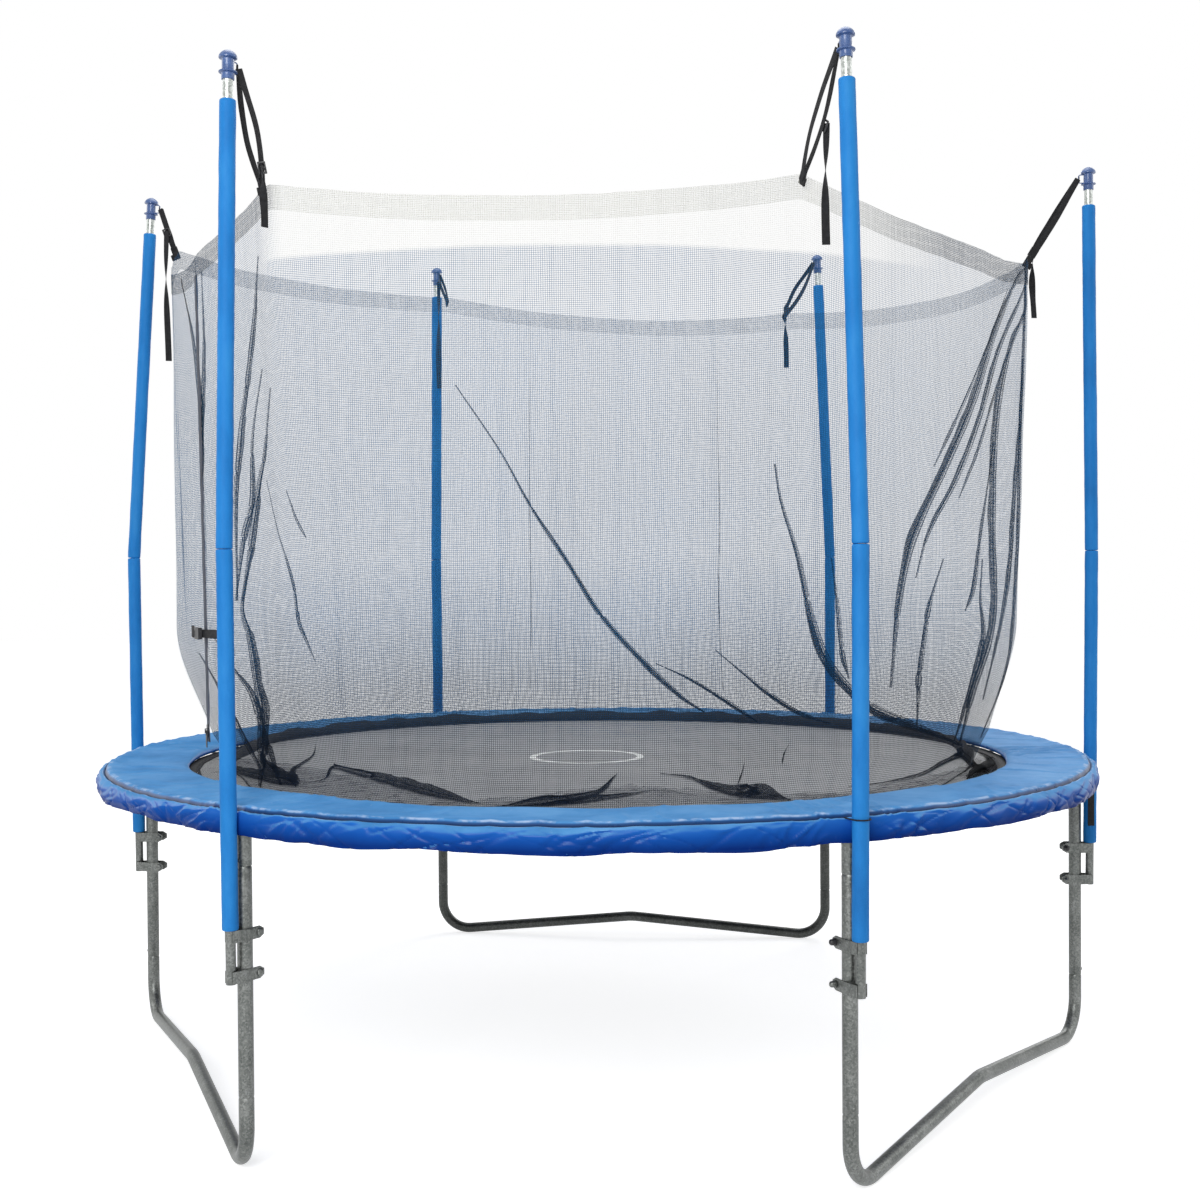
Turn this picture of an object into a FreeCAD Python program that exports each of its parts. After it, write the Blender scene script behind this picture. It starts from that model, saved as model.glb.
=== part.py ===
import FreeCAD, Part
import math
import os

# A round trampoline with a net enclosure: six curved rail sections on three W-shaped leg
# sets, a jumping mat hung on springs, a spring pad, six sleeved poles and a hung net.
# Millimetres, +Z up, the origin on the ground below the centre, the viewer at -Y.

os.makedirs("parts", exist_ok=True)
V = FreeCAD.Vector
UP = V(0, 0, 1)

# Tubes
TUBE_SIDES = 8              # flats on every drawn tube
RAIL_TUBE = 42.0            # outside diameters
LEG_TUBE = 38.0
POLE_TUBE = 25.0
TUBE_WALL = 1.5
SWAGE_DEPTH = 50.0          # how far a narrowed tube end enters the next tube
SWAGE_TAPER = 6.0           # length of the shoulder in front of a narrowed end
SLIDE_FIT = 0.35            # radial play between a narrowed end and its socket
SEAM_GAP = 0.6              # from a tube's mouth to the shoulder that stops against it
RAIL_SEAM_GAP = 2.5         # the same between two rail sections, which meet at an angle

# Frame
FRAME_RADIUS = 1506.0       # centre line of the rail's corners, and of the leg posts
RAIL_HEIGHT = 862.0         # centre line of the rail
RAIL_STATIONS = 6           # straight lengths along one rail section
LEG_SPREAD = 31.1           # degrees from the middle of a leg set to each of its posts
SOCKET_DROP = 100.0         # from the rail's centre to the mouth of its leg socket
BASE_JOINT_HEIGHT = 198.0   # where the leg extension meets the leg base
FOOT_RADIUS = 106.0         # centre-line radius of the foot bends
FOOT_SEGMENTS = 4
HUMP_RADIUS = 260.0         # centre-line radius of the raised middle of a leg base
HUMP_RISE = 69.0            # height of the middle corner above the foot corners

# Poles
POLE_GAP = 13.5             # clear space between a leg post and the pole outside it
POLE_BOTTOM = 481.0
POLE_JOINT_HEIGHT = 1530.0
POLE_TOP_HEIGHT = 2688.0
POLE_JOINT_OUTWARD = 8.0    # how far the joint stands outside the pole's foot
FOAM_TUBE = 40.0
FOAM_TOP_DROP = 80.0        # bare pole above the foam
FOAM_FIT = 0.4
FOAM_SEAT = 0.5             # from the upper clamp to the foam's lower end

# Pole caps
CAP_HEIGHT = 72.0
CAP_BORE_DEPTH = 32.0
CAP_FIT = 0.4
CAP_COLLAR_RADIUS = 15.5
CAP_NECK_RADIUS = 14.6
CAP_FLANGE_RADIUS = 22.5
CAP_NECK_START = 21.0       # from the cap's mouth to the foot of its eyelet
EYELET_REACH = 17.0         # how far the eyelet stands in from the neck
EYELET_BAR = 3.2
EYELET_HEIGHT = 28.4
EYELET_CORNER = 4.0         # how far the eyelet's outer corners are cut back

# Clamps between pole and post
CLAMP_HEIGHTS = (498.0, 597.0)
CLAMP_PLATE = 2.5
CLAMP_DEPTH = 30.0          # height of one bracket
CLAMP_REACH = 26.0          # from the post's inner side to the end of the arms
CLAMP_END_SEGMENTS = 3
BOLT_RADIUS = 4.0
BOLT_FIT = 0.4
BOLT_SIDES = 4              # flats on a bolt's shank and in its holes
BOLT_HEAD_RADIUS = 7.5
BOLT_HEAD_HEIGHT = 5.0
BOLT_SET_IN = 11.0          # from the post's inner side to the bolt's centre
CAP_NUT_RADIUS = 9.0
CAP_NUT_LENGTH = 15.0
BOLT_END_PROUD = 9.0        # thread beyond the bracket, inside the cap nut

# Bed
SPRING_ROOM = 216.0         # from the mat's edge to the rail's centre line
MAT_RISE = 15.0             # from the rail's centre line up to the mat's top face at rest
MAT_THICKNESS = 3.0
HEM_WIDTH = 45.0
HEM_THICKNESS = 2.0
SPRINGS_PER_RAIL = 8
WIRE = 3.6                  # square that stands for the hook and ring wire
COIL_RADIUS = 10.5
COIL_SIDES = 5
COIL_LENGTH = 104.0
COIL_START = 27.0           # from a ring's point to the coil
RING_WIDTH = 46.0
RING_SET_IN = 8.0           # from the mat's edge in to the ring's straight side
RING_REACH = 36.0           # from the mat's edge out to the ring's point
HOOK_DROP = 6.0             # how far a hook's end reaches below the wire or wall it grips
HOOK_LIFT = 7.0             # from a ring's wire up to the middle of the hook's wire over it
SLOT_LENGTH = 7.0
SLOT_WIDTH = 7.0
SLOT_SET_IN = 12.0          # from the rail's centre line to the middle of a slot

# Spring pad
PAD_OVER_MAT = 18.0         # how far the pad reaches in over the mat
PAD_THICKNESS = 22.0
PAD_EDGE_THICKNESS = 15.0   # at the inner edge, where the cover draws in
PAD_EDGE_LIFT = 1.0         # how far the inner edge's lower corner lies above the rail
PAD_EDGE_SLOPE = 25.0       # from the inner edge out to the full thickness
PAD_SHOULDER_IN = 4.0       # the outer shoulder's corner, in from the skirt and down
PAD_SHOULDER_DROP = 6.0
PAD_FIT = 0.3
SKIRT_DROP = 44.0
SKIRT_START = 8.0           # from the pad's underside down to where the skirt hangs free
SKIRT_ROOT = 10.0           # the same on the skirt's inner face
SKIRT_THICKNESS = 2.6
SKIRT_FIT = 1.2             # clear space outside the rail
SKIRT_FLARE = 17.0          # how far the skirt stands out between two poles
SKIRT_WAVES = 12
SKIRT_FLAT = 7.5            # degrees to each side of a pole where the skirt lies close
PAD_STEPS = 48

# Ties of the spring pad
TIE_CORD = 3.5
TIE_CORD_CLEAR = 1.2
TIE_CORD_RISE = 34.0        # from the rail's centre line up to the cord
TIE_CORD_SET_IN = 2.5       # from the skirt's face in to the cord's end over the shoulder
TIE_TAIL_LENGTH = 180.0
TIE_TAIL_CLEAR = 2.0

# Net
NET_THICKNESS = 3.0
NET_SECTIONS = 9            # between two poles
NET_FOOT_REACH = 34.0       # width of the net's foot that lies on the mat
NET_FOOT_SET_IN = 32.0      # from the mat's edge in to the bend above the foot
NET_KNEE_OUT = 5.0          # from the mat's edge out to the knee
NET_KNEE_HEIGHT = 1000.0
NET_WAIST_HEIGHT = 1650.0
NET_HEM_HEIGHT = 60.0       # depth of the denser band along the top edge
NET_HEM_GROWTH = 1.5
NET_FOLD_DEPTH = 11.0
NET_FOLDS = 3               # between two poles
NET_MAT_GAP = 0.6
JUMP_AREA_FIT = 4.0         # from the net's foot in to the free jumping area

# Straps that hang the net from the pole caps
STRAP_WIDTH = 20.0
STRAP_THICKNESS = 1.6
STRAP_LEAD = 15.0           # straight lead inward from the eyelet
STRAP_END_DROP = 4.0        # from the net's top corner down to the strap's end
STRAP_END_CLEAR = 13.0      # from the net's corner to the middle of the strap's end
TAIL_GAP = 0.3
BUCKLE_LENGTH = 30.0
BUCKLE_WIDTH = 26.0
BUCKLE_THICKNESS = 4.0
BUCKLE_BAR = 5.0
BUCKLE_PLACE = 0.72         # share of the way from the cap to the net

# Door: zip with slider and pull
DOOR_SECTION = 6            # the net's section, counted from the left pole, that the zip follows
ZIP_TOP = 2290.0
ZIP_BOTTOM = 1010.0
ZIP_WIDTH = 26.0
ZIP_THICKNESS = 1.6
ZIP_GAP = 0.8
ZIP_END = 14.0              # tape below the slider when the door is closed
SLIDER_LENGTH = 34.0
SLIDER_WIDTH = 13.0
SLIDER_NOSE = 8.0
SLIDER_THICKNESS = 3.0
SLIDER_FIT = 0.4
BRIDGE_OPENING = 8.0        # clear length and height under the slider's bridge
BRIDGE_CLEAR = 4.0
BRIDGE_BAR = 2.5
BRIDGE_WIDTH = 4.0
PULL_BAR = 2.4
PULL_HOLE_LENGTH = 11.0
PULL_HOLE_WIDTH = 6.0
PULL_LENGTH = 46.0
PULL_WIDTH = 11.0

# Door: side-release clip
CLIP_HEIGHT = 1310.0
CLIP_STANDOFF = 15.0        # from the zip's tape to the clip
CLIP_WIDTH = 32.0
CLIP_THICKNESS = 11.0
SOCKET_LENGTH = 30.0
SOCKET_WALL = 2.5
SOCKET_DEPTH = 24.0
TONGUE_BASE = 14.0
TONGUE_REACH = 21.0
TONGUE_PRONG = 3.2
TONGUE_SEAT = 0.4
CLIP_FIT = 0.5
CLIP_SEAM = 8.0             # from the zip's line to the clip's parting line
CLIP_STRAP_WIDTH = 20.0
CLIP_STRAP_GAP = 0.4        # lets the tongue slide over its webbing

# A leg set stands at each of these angles; the posts stand LEG_SPREAD to either side.
LEG_SETS = {"left": -150.0, "right": -30.0, "back": 90.0}
POSTS = {
    "left": LEG_SETS["left"] - LEG_SPREAD,
    "front_left": LEG_SETS["left"] + LEG_SPREAD,
    "front_right": LEG_SETS["right"] - LEG_SPREAD,
    "right": LEG_SETS["right"] + LEG_SPREAD,
    "back_right": LEG_SETS["back"] - LEG_SPREAD,
    "back_left": LEG_SETS["back"] + LEG_SPREAD,
}
# How far each pole's top is drawn in towards the centre by the net.
POLE_DRAWN_IN = {
    "left": 73.0,
    "front_left": 27.0,
    "front_right": 55.0,
    "right": 8.0,
    "back_right": 93.0,
    "back_left": 36.0,
}
# How far the net's top edge stands in from the rail and below the poles' tops, at each pole.
NET_CORNERS = {
    "left": (115.0, 138.0),
    "front_left": (92.0, 257.0),
    "front_right": (208.0, 249.0),
    "right": (150.0, 241.0),
    "back_right": (306.0, 226.0),
    "back_left": (111.0, 103.0),
}
# The same halfway to the next pole, where the edge sags.
NET_MIDDLES = {
    "left": (201.0, 348.0),
    "front_left": (206.0, 322.0),
    "front_right": (186.0, 358.0),
    "right": (206.0, 258.0),
    "back_right": (216.0, 193.0),
    "back_left": (196.0, 136.0),
}
TAIL_LENGTHS = {
    "left": 340.0,
    "front_left": 120.0,
    "front_right": 165.0,
    "right": 190.0,
    "back_right": 200.0,
    "back_left": 330.0,
}

# Sizes that follow from the ones above
POST_ORDER = list(POSTS)
POLE_FOOT_RADIUS = FRAME_RADIUS + LEG_TUBE / 2 + POLE_GAP + POLE_TUBE / 2
POLE_JOINT_RADIUS = POLE_FOOT_RADIUS + POLE_JOINT_OUTWARD
SPRING_COUNT = SPRINGS_PER_RAIL * len(POSTS)
FOAM_TOP = POLE_TOP_HEIGHT - FOAM_TOP_DROP
MAT_RADIUS = FRAME_RADIUS - SPRING_ROOM
MAT_HEIGHT = RAIL_HEIGHT + MAT_RISE
PAD_INNER_RADIUS = MAT_RADIUS - PAD_OVER_MAT
TIE_CORD_HEIGHT = RAIL_HEIGHT + TIE_CORD_RISE
NET_FOOT_RADIUS = MAT_RADIUS - NET_FOOT_SET_IN
NET_KNEE_RADIUS = MAT_RADIUS + NET_KNEE_OUT
# a drawn tube has the section area of the round one
CORNER_FACTOR = math.sqrt(2 * math.pi / (TUBE_SIDES * math.sin(2 * math.pi / TUBE_SIDES)))
FLAT_FACTOR = CORNER_FACTOR * math.cos(math.pi / TUBE_SIDES)
LEG_FLAT = LEG_TUBE / 2 * FLAT_FACTOR
POLE_FLAT = POLE_TUBE / 2 * FLAT_FACTOR
RAIL_CORNER = RAIL_TUBE / 2 * CORNER_FACTOR
FOAM_CORNER = FOAM_TUBE / 2 * CORNER_FACTOR
RAIL_TOP = RAIL_HEIGHT + RAIL_TUBE / 2 * FLAT_FACTOR
RING_HEIGHT = MAT_HEIGHT - MAT_THICKNESS - WIRE / 2
RING_POINT = MAT_RADIUS + RING_REACH
NET_REST = MAT_HEIGHT + HEM_THICKNESS + NET_MAT_GAP


def polar(angle, radius, height):
    a = math.radians(angle)
    return V(radius * math.cos(a), radius * math.sin(a), height)


def outward(angle):
    return polar(angle, 1.0, 0.0)


def along(angle):
    """The level direction square to outward, counterclockwise."""
    return polar(angle + 90.0, 1.0, 0.0)


def mix(a, b, share):
    return a + (b - a) * share


def save(name, *solids):
    shape = solids[0] if len(solids) == 1 else Part.makeCompound(list(solids))
    shape.exportStep("parts/%s.step" % name)


def flat_face(points):
    return Part.Face(Part.makePolygon(points + points[:1]))


def quad_faces(a, b, c, d):
    """One flat face, or where the corners are twisted two triangles, which meet on the shorter diagonal."""
    normal = (b - a).cross(c - a)
    if abs(normal.dot(d - a)) < 1e-6 * normal.Length:
        return [flat_face([a, b, c, d])]
    if (c - a).Length > (d - b).Length:
        a, b, c, d = b, c, d, a
    return [flat_face([a, b, c]), flat_face([a, c, d])]


def skin(rings, closed=False):
    """A solid whose faces run from ring to ring of corners, with capped or joined ends."""
    pairs = list(zip(rings, rings[1:]))
    if closed:
        pairs.append((rings[-1], rings[0]))
    faces = []
    for a, b in pairs:
        for k in range(len(a)):
            faces += quad_faces(a[k - 1], a[k], b[k], b[k - 1])
    if not closed:
        faces += [flat_face(list(rings[0])), flat_face(list(rings[-1]))]
    shell = Part.Shell(faces)
    shell.sewShape()
    solid = Part.Solid(shell)
    if solid.Volume < 0:
        solid.reverse()
    return solid


def bisectors(points):
    """Per point of a path: the direction square to its mitre, and the mitre's stretch."""
    ways = [(b - a).normalize() for a, b in zip(points, points[1:])]
    result = [(ways[0], 1.0)]
    for a, b in zip(ways, ways[1:]):
        middle = (a + b).normalize()
        result.append((middle, 1.0 / middle.dot(b)))
    result.append((ways[-1], 1.0))
    return result


def tube_ring(point, way, stretch, normal, radius):
    """Corners of a tube's mitred section; the path is flat, and normal is square to it."""
    side = normal.cross(way)
    reach = radius * CORNER_FACTOR
    corners = []
    for k in range(TUBE_SIDES):
        a = (k + 0.5) * 2 * math.pi / TUBE_SIDES
        corners.append(point + normal * reach * math.cos(a) + side * reach * stretch * math.sin(a))
    return corners


def tube_rings(points, normal, radii):
    turns = bisectors(points)
    return [tube_ring(p, w, s, normal, r) for p, (w, s), r in zip(points, turns, radii)]


def tube(points, normal, radii, bores):
    """A hollow tube along a flat path, with an outer and a bore radius at each point."""
    outer = tube_rings(points, normal, radii)
    inner = tube_rings(points, normal, bores)
    return skin(outer + inner[::-1], closed=True)


def bend(before, corner, after, radius, segments):
    """Points of the arc that rounds a corner, its two tangent points included."""
    a = (before - corner).normalize()
    b = (after - corner).normalize()
    half = a.getAngle(b) / 2
    centre = corner + (a + b).normalize() * (radius / math.sin(half))
    start = corner + a * (radius / math.tan(half)) - centre
    end = corner + b * (radius / math.tan(half)) - centre
    turn = start.getAngle(end)
    points = []
    for k in range(segments + 1):
        t = turn * k / segments
        points.append(centre + (start * math.sin(turn - t) + end * math.sin(t)) * (1 / math.sin(turn)))
    return points


def prism(points, rise):
    """A flat outline of points, pulled along rise."""
    return flat_face(points).extrude(rise)


def block(centre, x, y, z, length, width, height):
    """A box centred on a point, with its sizes along three square directions."""
    base = centre - x * (length / 2) - y * (width / 2) - z * (height / 2)
    return prism([base, base + x * length, base + x * length + y * width, base + y * width], z * height)


def rod_ring(centre, way, radius, sides):
    side = way.cross(UP) if abs(way.z) < 0.9 else way.cross(V(1, 0, 0))
    side.normalize()
    other = way.cross(side)
    ring = []
    for k in range(sides):
        a = (k + 0.5) * 2 * math.pi / sides
        ring.append(centre + side * radius * math.cos(a) + other * radius * math.sin(a))
    return ring


def rod(start, way, length, radius, sides):
    """A solid bar with flats."""
    return prism(rod_ring(start, way, radius, sides), way * length)


def bar_ring(point, way, stretch, normal, size):
    side = normal.cross(way) * (stretch * size / 2)
    up = normal * (size / 2)
    return [point + up + side, point - up + side, point - up - side, point + up - side]


def bar(points, normal, size):
    """Square wire along a flat path."""
    return skin([bar_ring(p, w, s, normal, size) for p, (w, s) in zip(points, bisectors(points))])


def closed_bar(points, normal, size):
    """Square wire round a flat outline."""
    turns = bisectors([points[-1]] + points + points[:1])[1:-1]
    return skin([bar_ring(p, w, s, normal, size) for p, (w, s) in zip(points, turns)], closed=True)


# Frame: rails with their leg sockets and spring slots


def rail_start(angle):
    """The angle where the rail section that holds an angle begins."""
    return 60.0 * math.floor((angle - 30.0) / 60.0) + 30.0


def rail_radius(angle):
    """Centre line of the rail at an angle: the corners stand at FRAME_RADIUS."""
    step = 60.0 / RAIL_STATIONS
    from_middle = (angle - rail_start(angle)) % step - step / 2
    return FRAME_RADIUS * math.cos(math.radians(step / 2)) / math.cos(math.radians(from_middle))


def rail_section(post_angle):
    """One sixth of the rail, from a leg set's middle to the next gap's middle."""
    start = rail_start(post_angle)
    step = 60.0 / RAIL_STATIONS
    points = [polar(start + step * k, FRAME_RADIUS, RAIL_HEIGHT) for k in range(RAIL_STATIONS + 1)]
    before = polar(start - step, FRAME_RADIUS, RAIL_HEIGHT)
    beyond = polar(start + step * (RAIL_STATIONS + 1), FRAME_RADIUS, RAIL_HEIGHT)
    chord = (beyond - points[-1]).Length
    radius = RAIL_TUBE / 2
    bore = radius - TUBE_WALL
    narrow = bore - SLIDE_FIT
    shoulder = [mix(points[-1], points[-2], (RAIL_SEAM_GAP + t) / chord) for t in (SWAGE_TAPER, 0)]
    tip = mix(points[-1], beyond, SWAGE_DEPTH / chord)
    # the point before the section gives its open end the slant of its neighbour's
    path = [before] + points[:-1] + shoulder + [points[-1], tip]
    plain = RAIL_STATIONS + 2
    outer = tube_rings(path, UP, [radius] * plain + [narrow] * 3)[1:]
    inner = tube_rings(path, UP, [bore] * plain + [narrow - TUBE_WALL] * 3)[1:]
    rail = skin(outer + inner[::-1], closed=True)

    post = polar(post_angle, FRAME_RADIUS, 0)
    ends = [post + UP * (RAIL_HEIGHT - SOCKET_DROP), post + UP * (RAIL_HEIGHT - radius / 2)]
    stub = tube(ends, along(post_angle), [LEG_TUBE / 2] * 2, [LEG_TUBE / 2 - TUBE_WALL] * 2)
    rail = rail.fuse(stub.cut(skin(inner[:RAIL_STATIONS + 1])))

    slots = []
    for k in range(SPRINGS_PER_RAIL):
        angle = start + 60.0 * (k + 0.5) / SPRINGS_PER_RAIL
        centre = polar(angle, rail_radius(angle) - SLOT_SET_IN, RAIL_HEIGHT + radius)
        slots.append(block(centre, outward(angle), along(angle), UP, SLOT_LENGTH, SLOT_WIDTH, RAIL_TUBE / 2))
    return rail.cut(Part.makeCompound(slots))


# Frame: legs


def leg_extension(angle):
    """A post: open below, narrowed above to enter the rail's socket."""
    post = polar(angle, FRAME_RADIUS, 0)
    seam = RAIL_HEIGHT - SOCKET_DROP - SEAM_GAP
    radius = LEG_TUBE / 2
    bore = radius - TUBE_WALL
    narrow = bore - SLIDE_FIT
    heights = [BASE_JOINT_HEIGHT, seam - SWAGE_TAPER, seam, seam + SWAGE_DEPTH]
    return tube(
        [post + UP * h for h in heights],
        along(angle),
        [radius, radius, narrow, narrow],
        [bore, bore, narrow - TUBE_WALL, narrow - TUBE_WALL],
    )


def leg_base(angle):
    """The bent tube that joins two posts: two feet on the ground and a raised middle."""
    normal = outward(angle)
    radius = LEG_TUBE / 2
    bore = radius - TUBE_WALL
    # the posts' flats are turned against the base's, so its ends are drawn that much smaller
    narrow = bore * math.cos(math.pi / TUBE_SIDES) - SLIDE_FIT
    first = polar(angle - LEG_SPREAD, FRAME_RADIUS, 0)
    last = polar(angle + LEG_SPREAD, FRAME_RADIUS, 0)
    middle = (first + last) * 0.5 + UP * HUMP_RISE
    seam = UP * (BASE_JOINT_HEIGHT - SEAM_GAP)
    curve = bend(first + seam, first, middle, FOOT_RADIUS, FOOT_SEGMENTS)
    curve += bend(first, middle, last, HUMP_RADIUS, 2)
    curve += bend(middle, last, last + seam, FOOT_RADIUS, FOOT_SEGMENTS)
    lowest = min(p.z for ring in tube_rings(curve, normal, [radius] * len(curve)) for p in ring)
    curve = [p - UP * lowest for p in curve]
    rises = [SWAGE_DEPTH, 0, -SWAGE_TAPER]
    path = [first + seam + UP * h for h in rises] + curve + [last + seam + UP * h for h in rises[::-1]]
    plain = len(path) - 4
    return tube(
        path,
        normal,
        [narrow] * 2 + [radius] * plain + [narrow] * 2,
        [narrow - TUBE_WALL] * 2 + [bore] * plain + [narrow - TUBE_WALL] * 2,
    )


# Enclosure poles, foam sleeves and caps


def pole_foot(name):
    return polar(POSTS[name], POLE_FOOT_RADIUS, POLE_BOTTOM)


def pole_joint(name):
    return polar(POSTS[name], POLE_JOINT_RADIUS, POLE_JOINT_HEIGHT)


def pole_top(name):
    return polar(POSTS[name], POLE_JOINT_RADIUS - POLE_DRAWN_IN[name], POLE_TOP_HEIGHT)


def at_height(a, b, height):
    return mix(a, b, (height - a.z) / (b.z - a.z))


def pole_lower(name):
    ends = [pole_foot(name), pole_joint(name)]
    return tube(ends, along(POSTS[name]), [POLE_TUBE / 2] * 2, [POLE_TUBE / 2 - TUBE_WALL] * 2)


def pole_upper(name):
    """The upper pole: narrowed below to enter the lower one, and leaning in above."""
    foot, joint, top = pole_foot(name), pole_joint(name), pole_top(name)
    bore = POLE_TUBE / 2 - TUBE_WALL
    narrow = bore - SLIDE_FIT
    seam = mix(foot, joint, 1 + SEAM_GAP / (joint - foot).Length)
    path = [
        at_height(foot, joint, POLE_JOINT_HEIGHT - SWAGE_DEPTH),
        seam,
        at_height(seam, top, seam.z + SWAGE_TAPER),
        top,
    ]
    return tube(path, along(POSTS[name]), [narrow] * 2 + [POLE_TUBE / 2] * 2, [narrow - TUBE_WALL] * 2 + [bore] * 2)


def foam_sleeves(name):
    """The two foam lengths on a pole, which meet where it bends."""
    joint = pole_joint(name)
    low = at_height(pole_foot(name), joint, max(CLAMP_HEIGHTS) + CLAMP_DEPTH / 2 + FOAM_SEAT)
    path = [low, joint, at_height(joint, pole_top(name), FOAM_TOP)]
    outer = tube_rings(path, along(POSTS[name]), [FOAM_TUBE / 2] * 3)
    inner = tube_rings(path, along(POSTS[name]), [POLE_TUBE / 2 + FOAM_FIT] * 3)
    return [skin(outer[k:k + 2] + inner[k:k + 2][::-1], closed=True) for k in (0, 1)]


def cap_frame(name):
    """The middle of a cap's mouth, its axis, and the way square to it towards the centre."""
    top = pole_top(name)
    axis = (top - pole_joint(name)).normalize()
    inward = outward(POSTS[name]) * -1
    inward = (inward - axis * inward.dot(axis)).normalize()
    return top - axis * CAP_BORE_DEPTH, axis, inward


def pole_cap(name):
    """A moulded cap: collar, lower flange, neck, mushroom top and an eyelet on its inner side."""
    base, axis, inward = cap_frame(name)
    side = along(POSTS[name])
    flange, neck = CAP_FLANGE_RADIUS, CAP_NECK_RADIUS
    neck_end = CAP_NECK_START + EYELET_HEIGHT
    profile = [
        (0, CAP_COLLAR_RADIUS),
        (CAP_NECK_START - 7, CAP_COLLAR_RADIUS),
        (CAP_NECK_START - 3, flange),
        (CAP_NECK_START, neck),
        (neck_end, neck),
        (neck_end + 4, flange),
        (CAP_HEIGHT - 7, flange * 0.8),
        (CAP_HEIGHT, flange * 0.12),
    ]
    body = skin([tube_ring(base + axis * h, axis, 1.0, side, r / CORNER_FACTOR) for h, r in profile])
    bore = POLE_TUBE / 2 + CAP_FIT
    body = body.cut(skin([tube_ring(base + axis * h, axis, 1.0, side, bore) for h in (0, CAP_BORE_DEPTH)]))

    # a D-shaped loop in the plane of the pole's lean
    low = base + axis * CAP_NECK_START
    reach = neck + EYELET_REACH
    root = (neck * math.cos(math.pi / TUBE_SIDES) + bore * FLAT_FACTOR) / 2

    def loop(cut):
        corner = EYELET_CORNER - cut
        outline = [
            (root + cut, cut),
            (reach - cut - corner, cut),
            (reach - cut, cut + corner),
            (reach - cut, EYELET_HEIGHT - cut - corner),
            (reach - cut - corner, EYELET_HEIGHT - cut),
            (root + cut, EYELET_HEIGHT - cut),
        ]
        return [low + inward * a + axis * b for a, b in outline]

    half = side * (EYELET_BAR / 2)
    eyelet = prism([p - half for p in loop(0)], half * 2)
    hole = prism([p - half * 2 for p in loop(EYELET_BAR)], half * 4)
    return body.fuse(eyelet.cut(hole))


# Clamps


def clamp_half(angle, height, hand):
    """One stamped arm: flat along the post, stepped in to the pole, with a rounded bolt end."""
    x, y = outward(angle), along(angle) * hand
    post = polar(angle, FRAME_RADIUS, height)
    pole_x = POLE_FOOT_RADIUS - FRAME_RADIUS
    inner_end = -LEG_TUBE / 2 - CLAMP_REACH
    line = [(inner_end, LEG_FLAT), (LEG_TUBE / 2, LEG_FLAT), (pole_x + POLE_TUBE / 4, POLE_FLAT)]
    outline = line + [(a, b + CLAMP_PLATE) for a, b in reversed(line)]
    half = CLAMP_DEPTH / 2
    arm = prism([post + x * a + y * b - UP * half for a, b in outline], UP * CLAMP_DEPTH)
    reach = LEG_FLAT + 3 * CLAMP_PLATE
    profile = [(pole_x + POLE_TUBE, -half), (pole_x + POLE_TUBE, half)]
    for k in range(CLAMP_END_SEGMENTS + 1):
        a = math.pi / 2 + math.pi * k / CLAMP_END_SEGMENTS
        profile.append((inner_end + half + half * math.cos(a), half * math.sin(a)))
    side_view = prism([post + x * a + UP * b for a, b in profile], y * reach)
    hole = rod(bolt_centre(angle, height), y, reach, BOLT_RADIUS + BOLT_FIT, BOLT_SIDES)
    return arm.common(side_view).cut(hole)


def bolt_centre(angle, height):
    return polar(angle, FRAME_RADIUS - LEG_TUBE / 2 - BOLT_SET_IN, height)


def clamp_bolt(angle, height, hand):
    """A bolt through both arms, its head on the side that hand gives."""
    y = along(angle) * hand
    face = LEG_FLAT + CLAMP_PLATE
    start = bolt_centre(angle, height) + y * face
    shank = rod(start, y * -1, 2 * face + BOLT_END_PROUD, BOLT_RADIUS, BOLT_SIDES)
    return shank.fuse(rod(start, y, BOLT_HEAD_HEIGHT, BOLT_HEAD_RADIUS, 6))


def cap_nut(angle, height, hand):
    """A plastic cap nut on the end of a bolt whose head is on the side that hand gives."""
    y = along(angle) * -hand
    start = bolt_centre(angle, height) + y * (LEG_FLAT + CLAMP_PLATE)
    rings = []
    for length, radius in ((0, 1.0), (0.65, 1.0), (1.0, 0.6)):
        rings.append(rod_ring(start + y * CAP_NUT_LENGTH * length, y, CAP_NUT_RADIUS * radius, 6))
    return skin(rings).cut(rod(start, y, BOLT_END_PROUD, BOLT_RADIUS + BOLT_FIT, BOLT_SIDES))


# Bed: mat, hem, rings and springs


def spring_angles():
    return [-90.0 + 360.0 * (k + 0.5) / SPRING_COUNT for k in range(SPRING_COUNT)]


def bed_plate(radius, low, thickness):
    """A flat piece whose corners point at the springs."""
    return prism([polar(a, radius, low) for a in spring_angles()], UP * thickness)


def jumping_mat():
    """The mat, its top face divided where the net's foot ends and the free jumping area begins."""
    low = MAT_HEIGHT - MAT_THICKNESS
    area = bed_plate(NET_FOOT_RADIUS - NET_FOOT_REACH - JUMP_AREA_FIT, low, MAT_THICKNESS)
    return area.fuse(bed_plate(MAT_RADIUS, low, MAT_THICKNESS).cut(area))


def hem_band(low):
    """Webbing sewn round the mat's edge; the lower band holds the rings against the mat."""
    band = bed_plate(MAT_RADIUS, low, HEM_THICKNESS)
    return band.cut(bed_plate(MAT_RADIUS - HEM_WIDTH, low, HEM_THICKNESS))


def mat_ring(angle):
    """A V-shaped wire ring: a straight side under the mat and a point for the spring's hook."""
    side = polar(angle, MAT_RADIUS - RING_SET_IN, RING_HEIGHT)
    half = along(angle) * (RING_WIDTH / 2)
    return closed_bar([side - half, polar(angle, RING_POINT, RING_HEIGHT), side + half], UP, WIRE)


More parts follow.
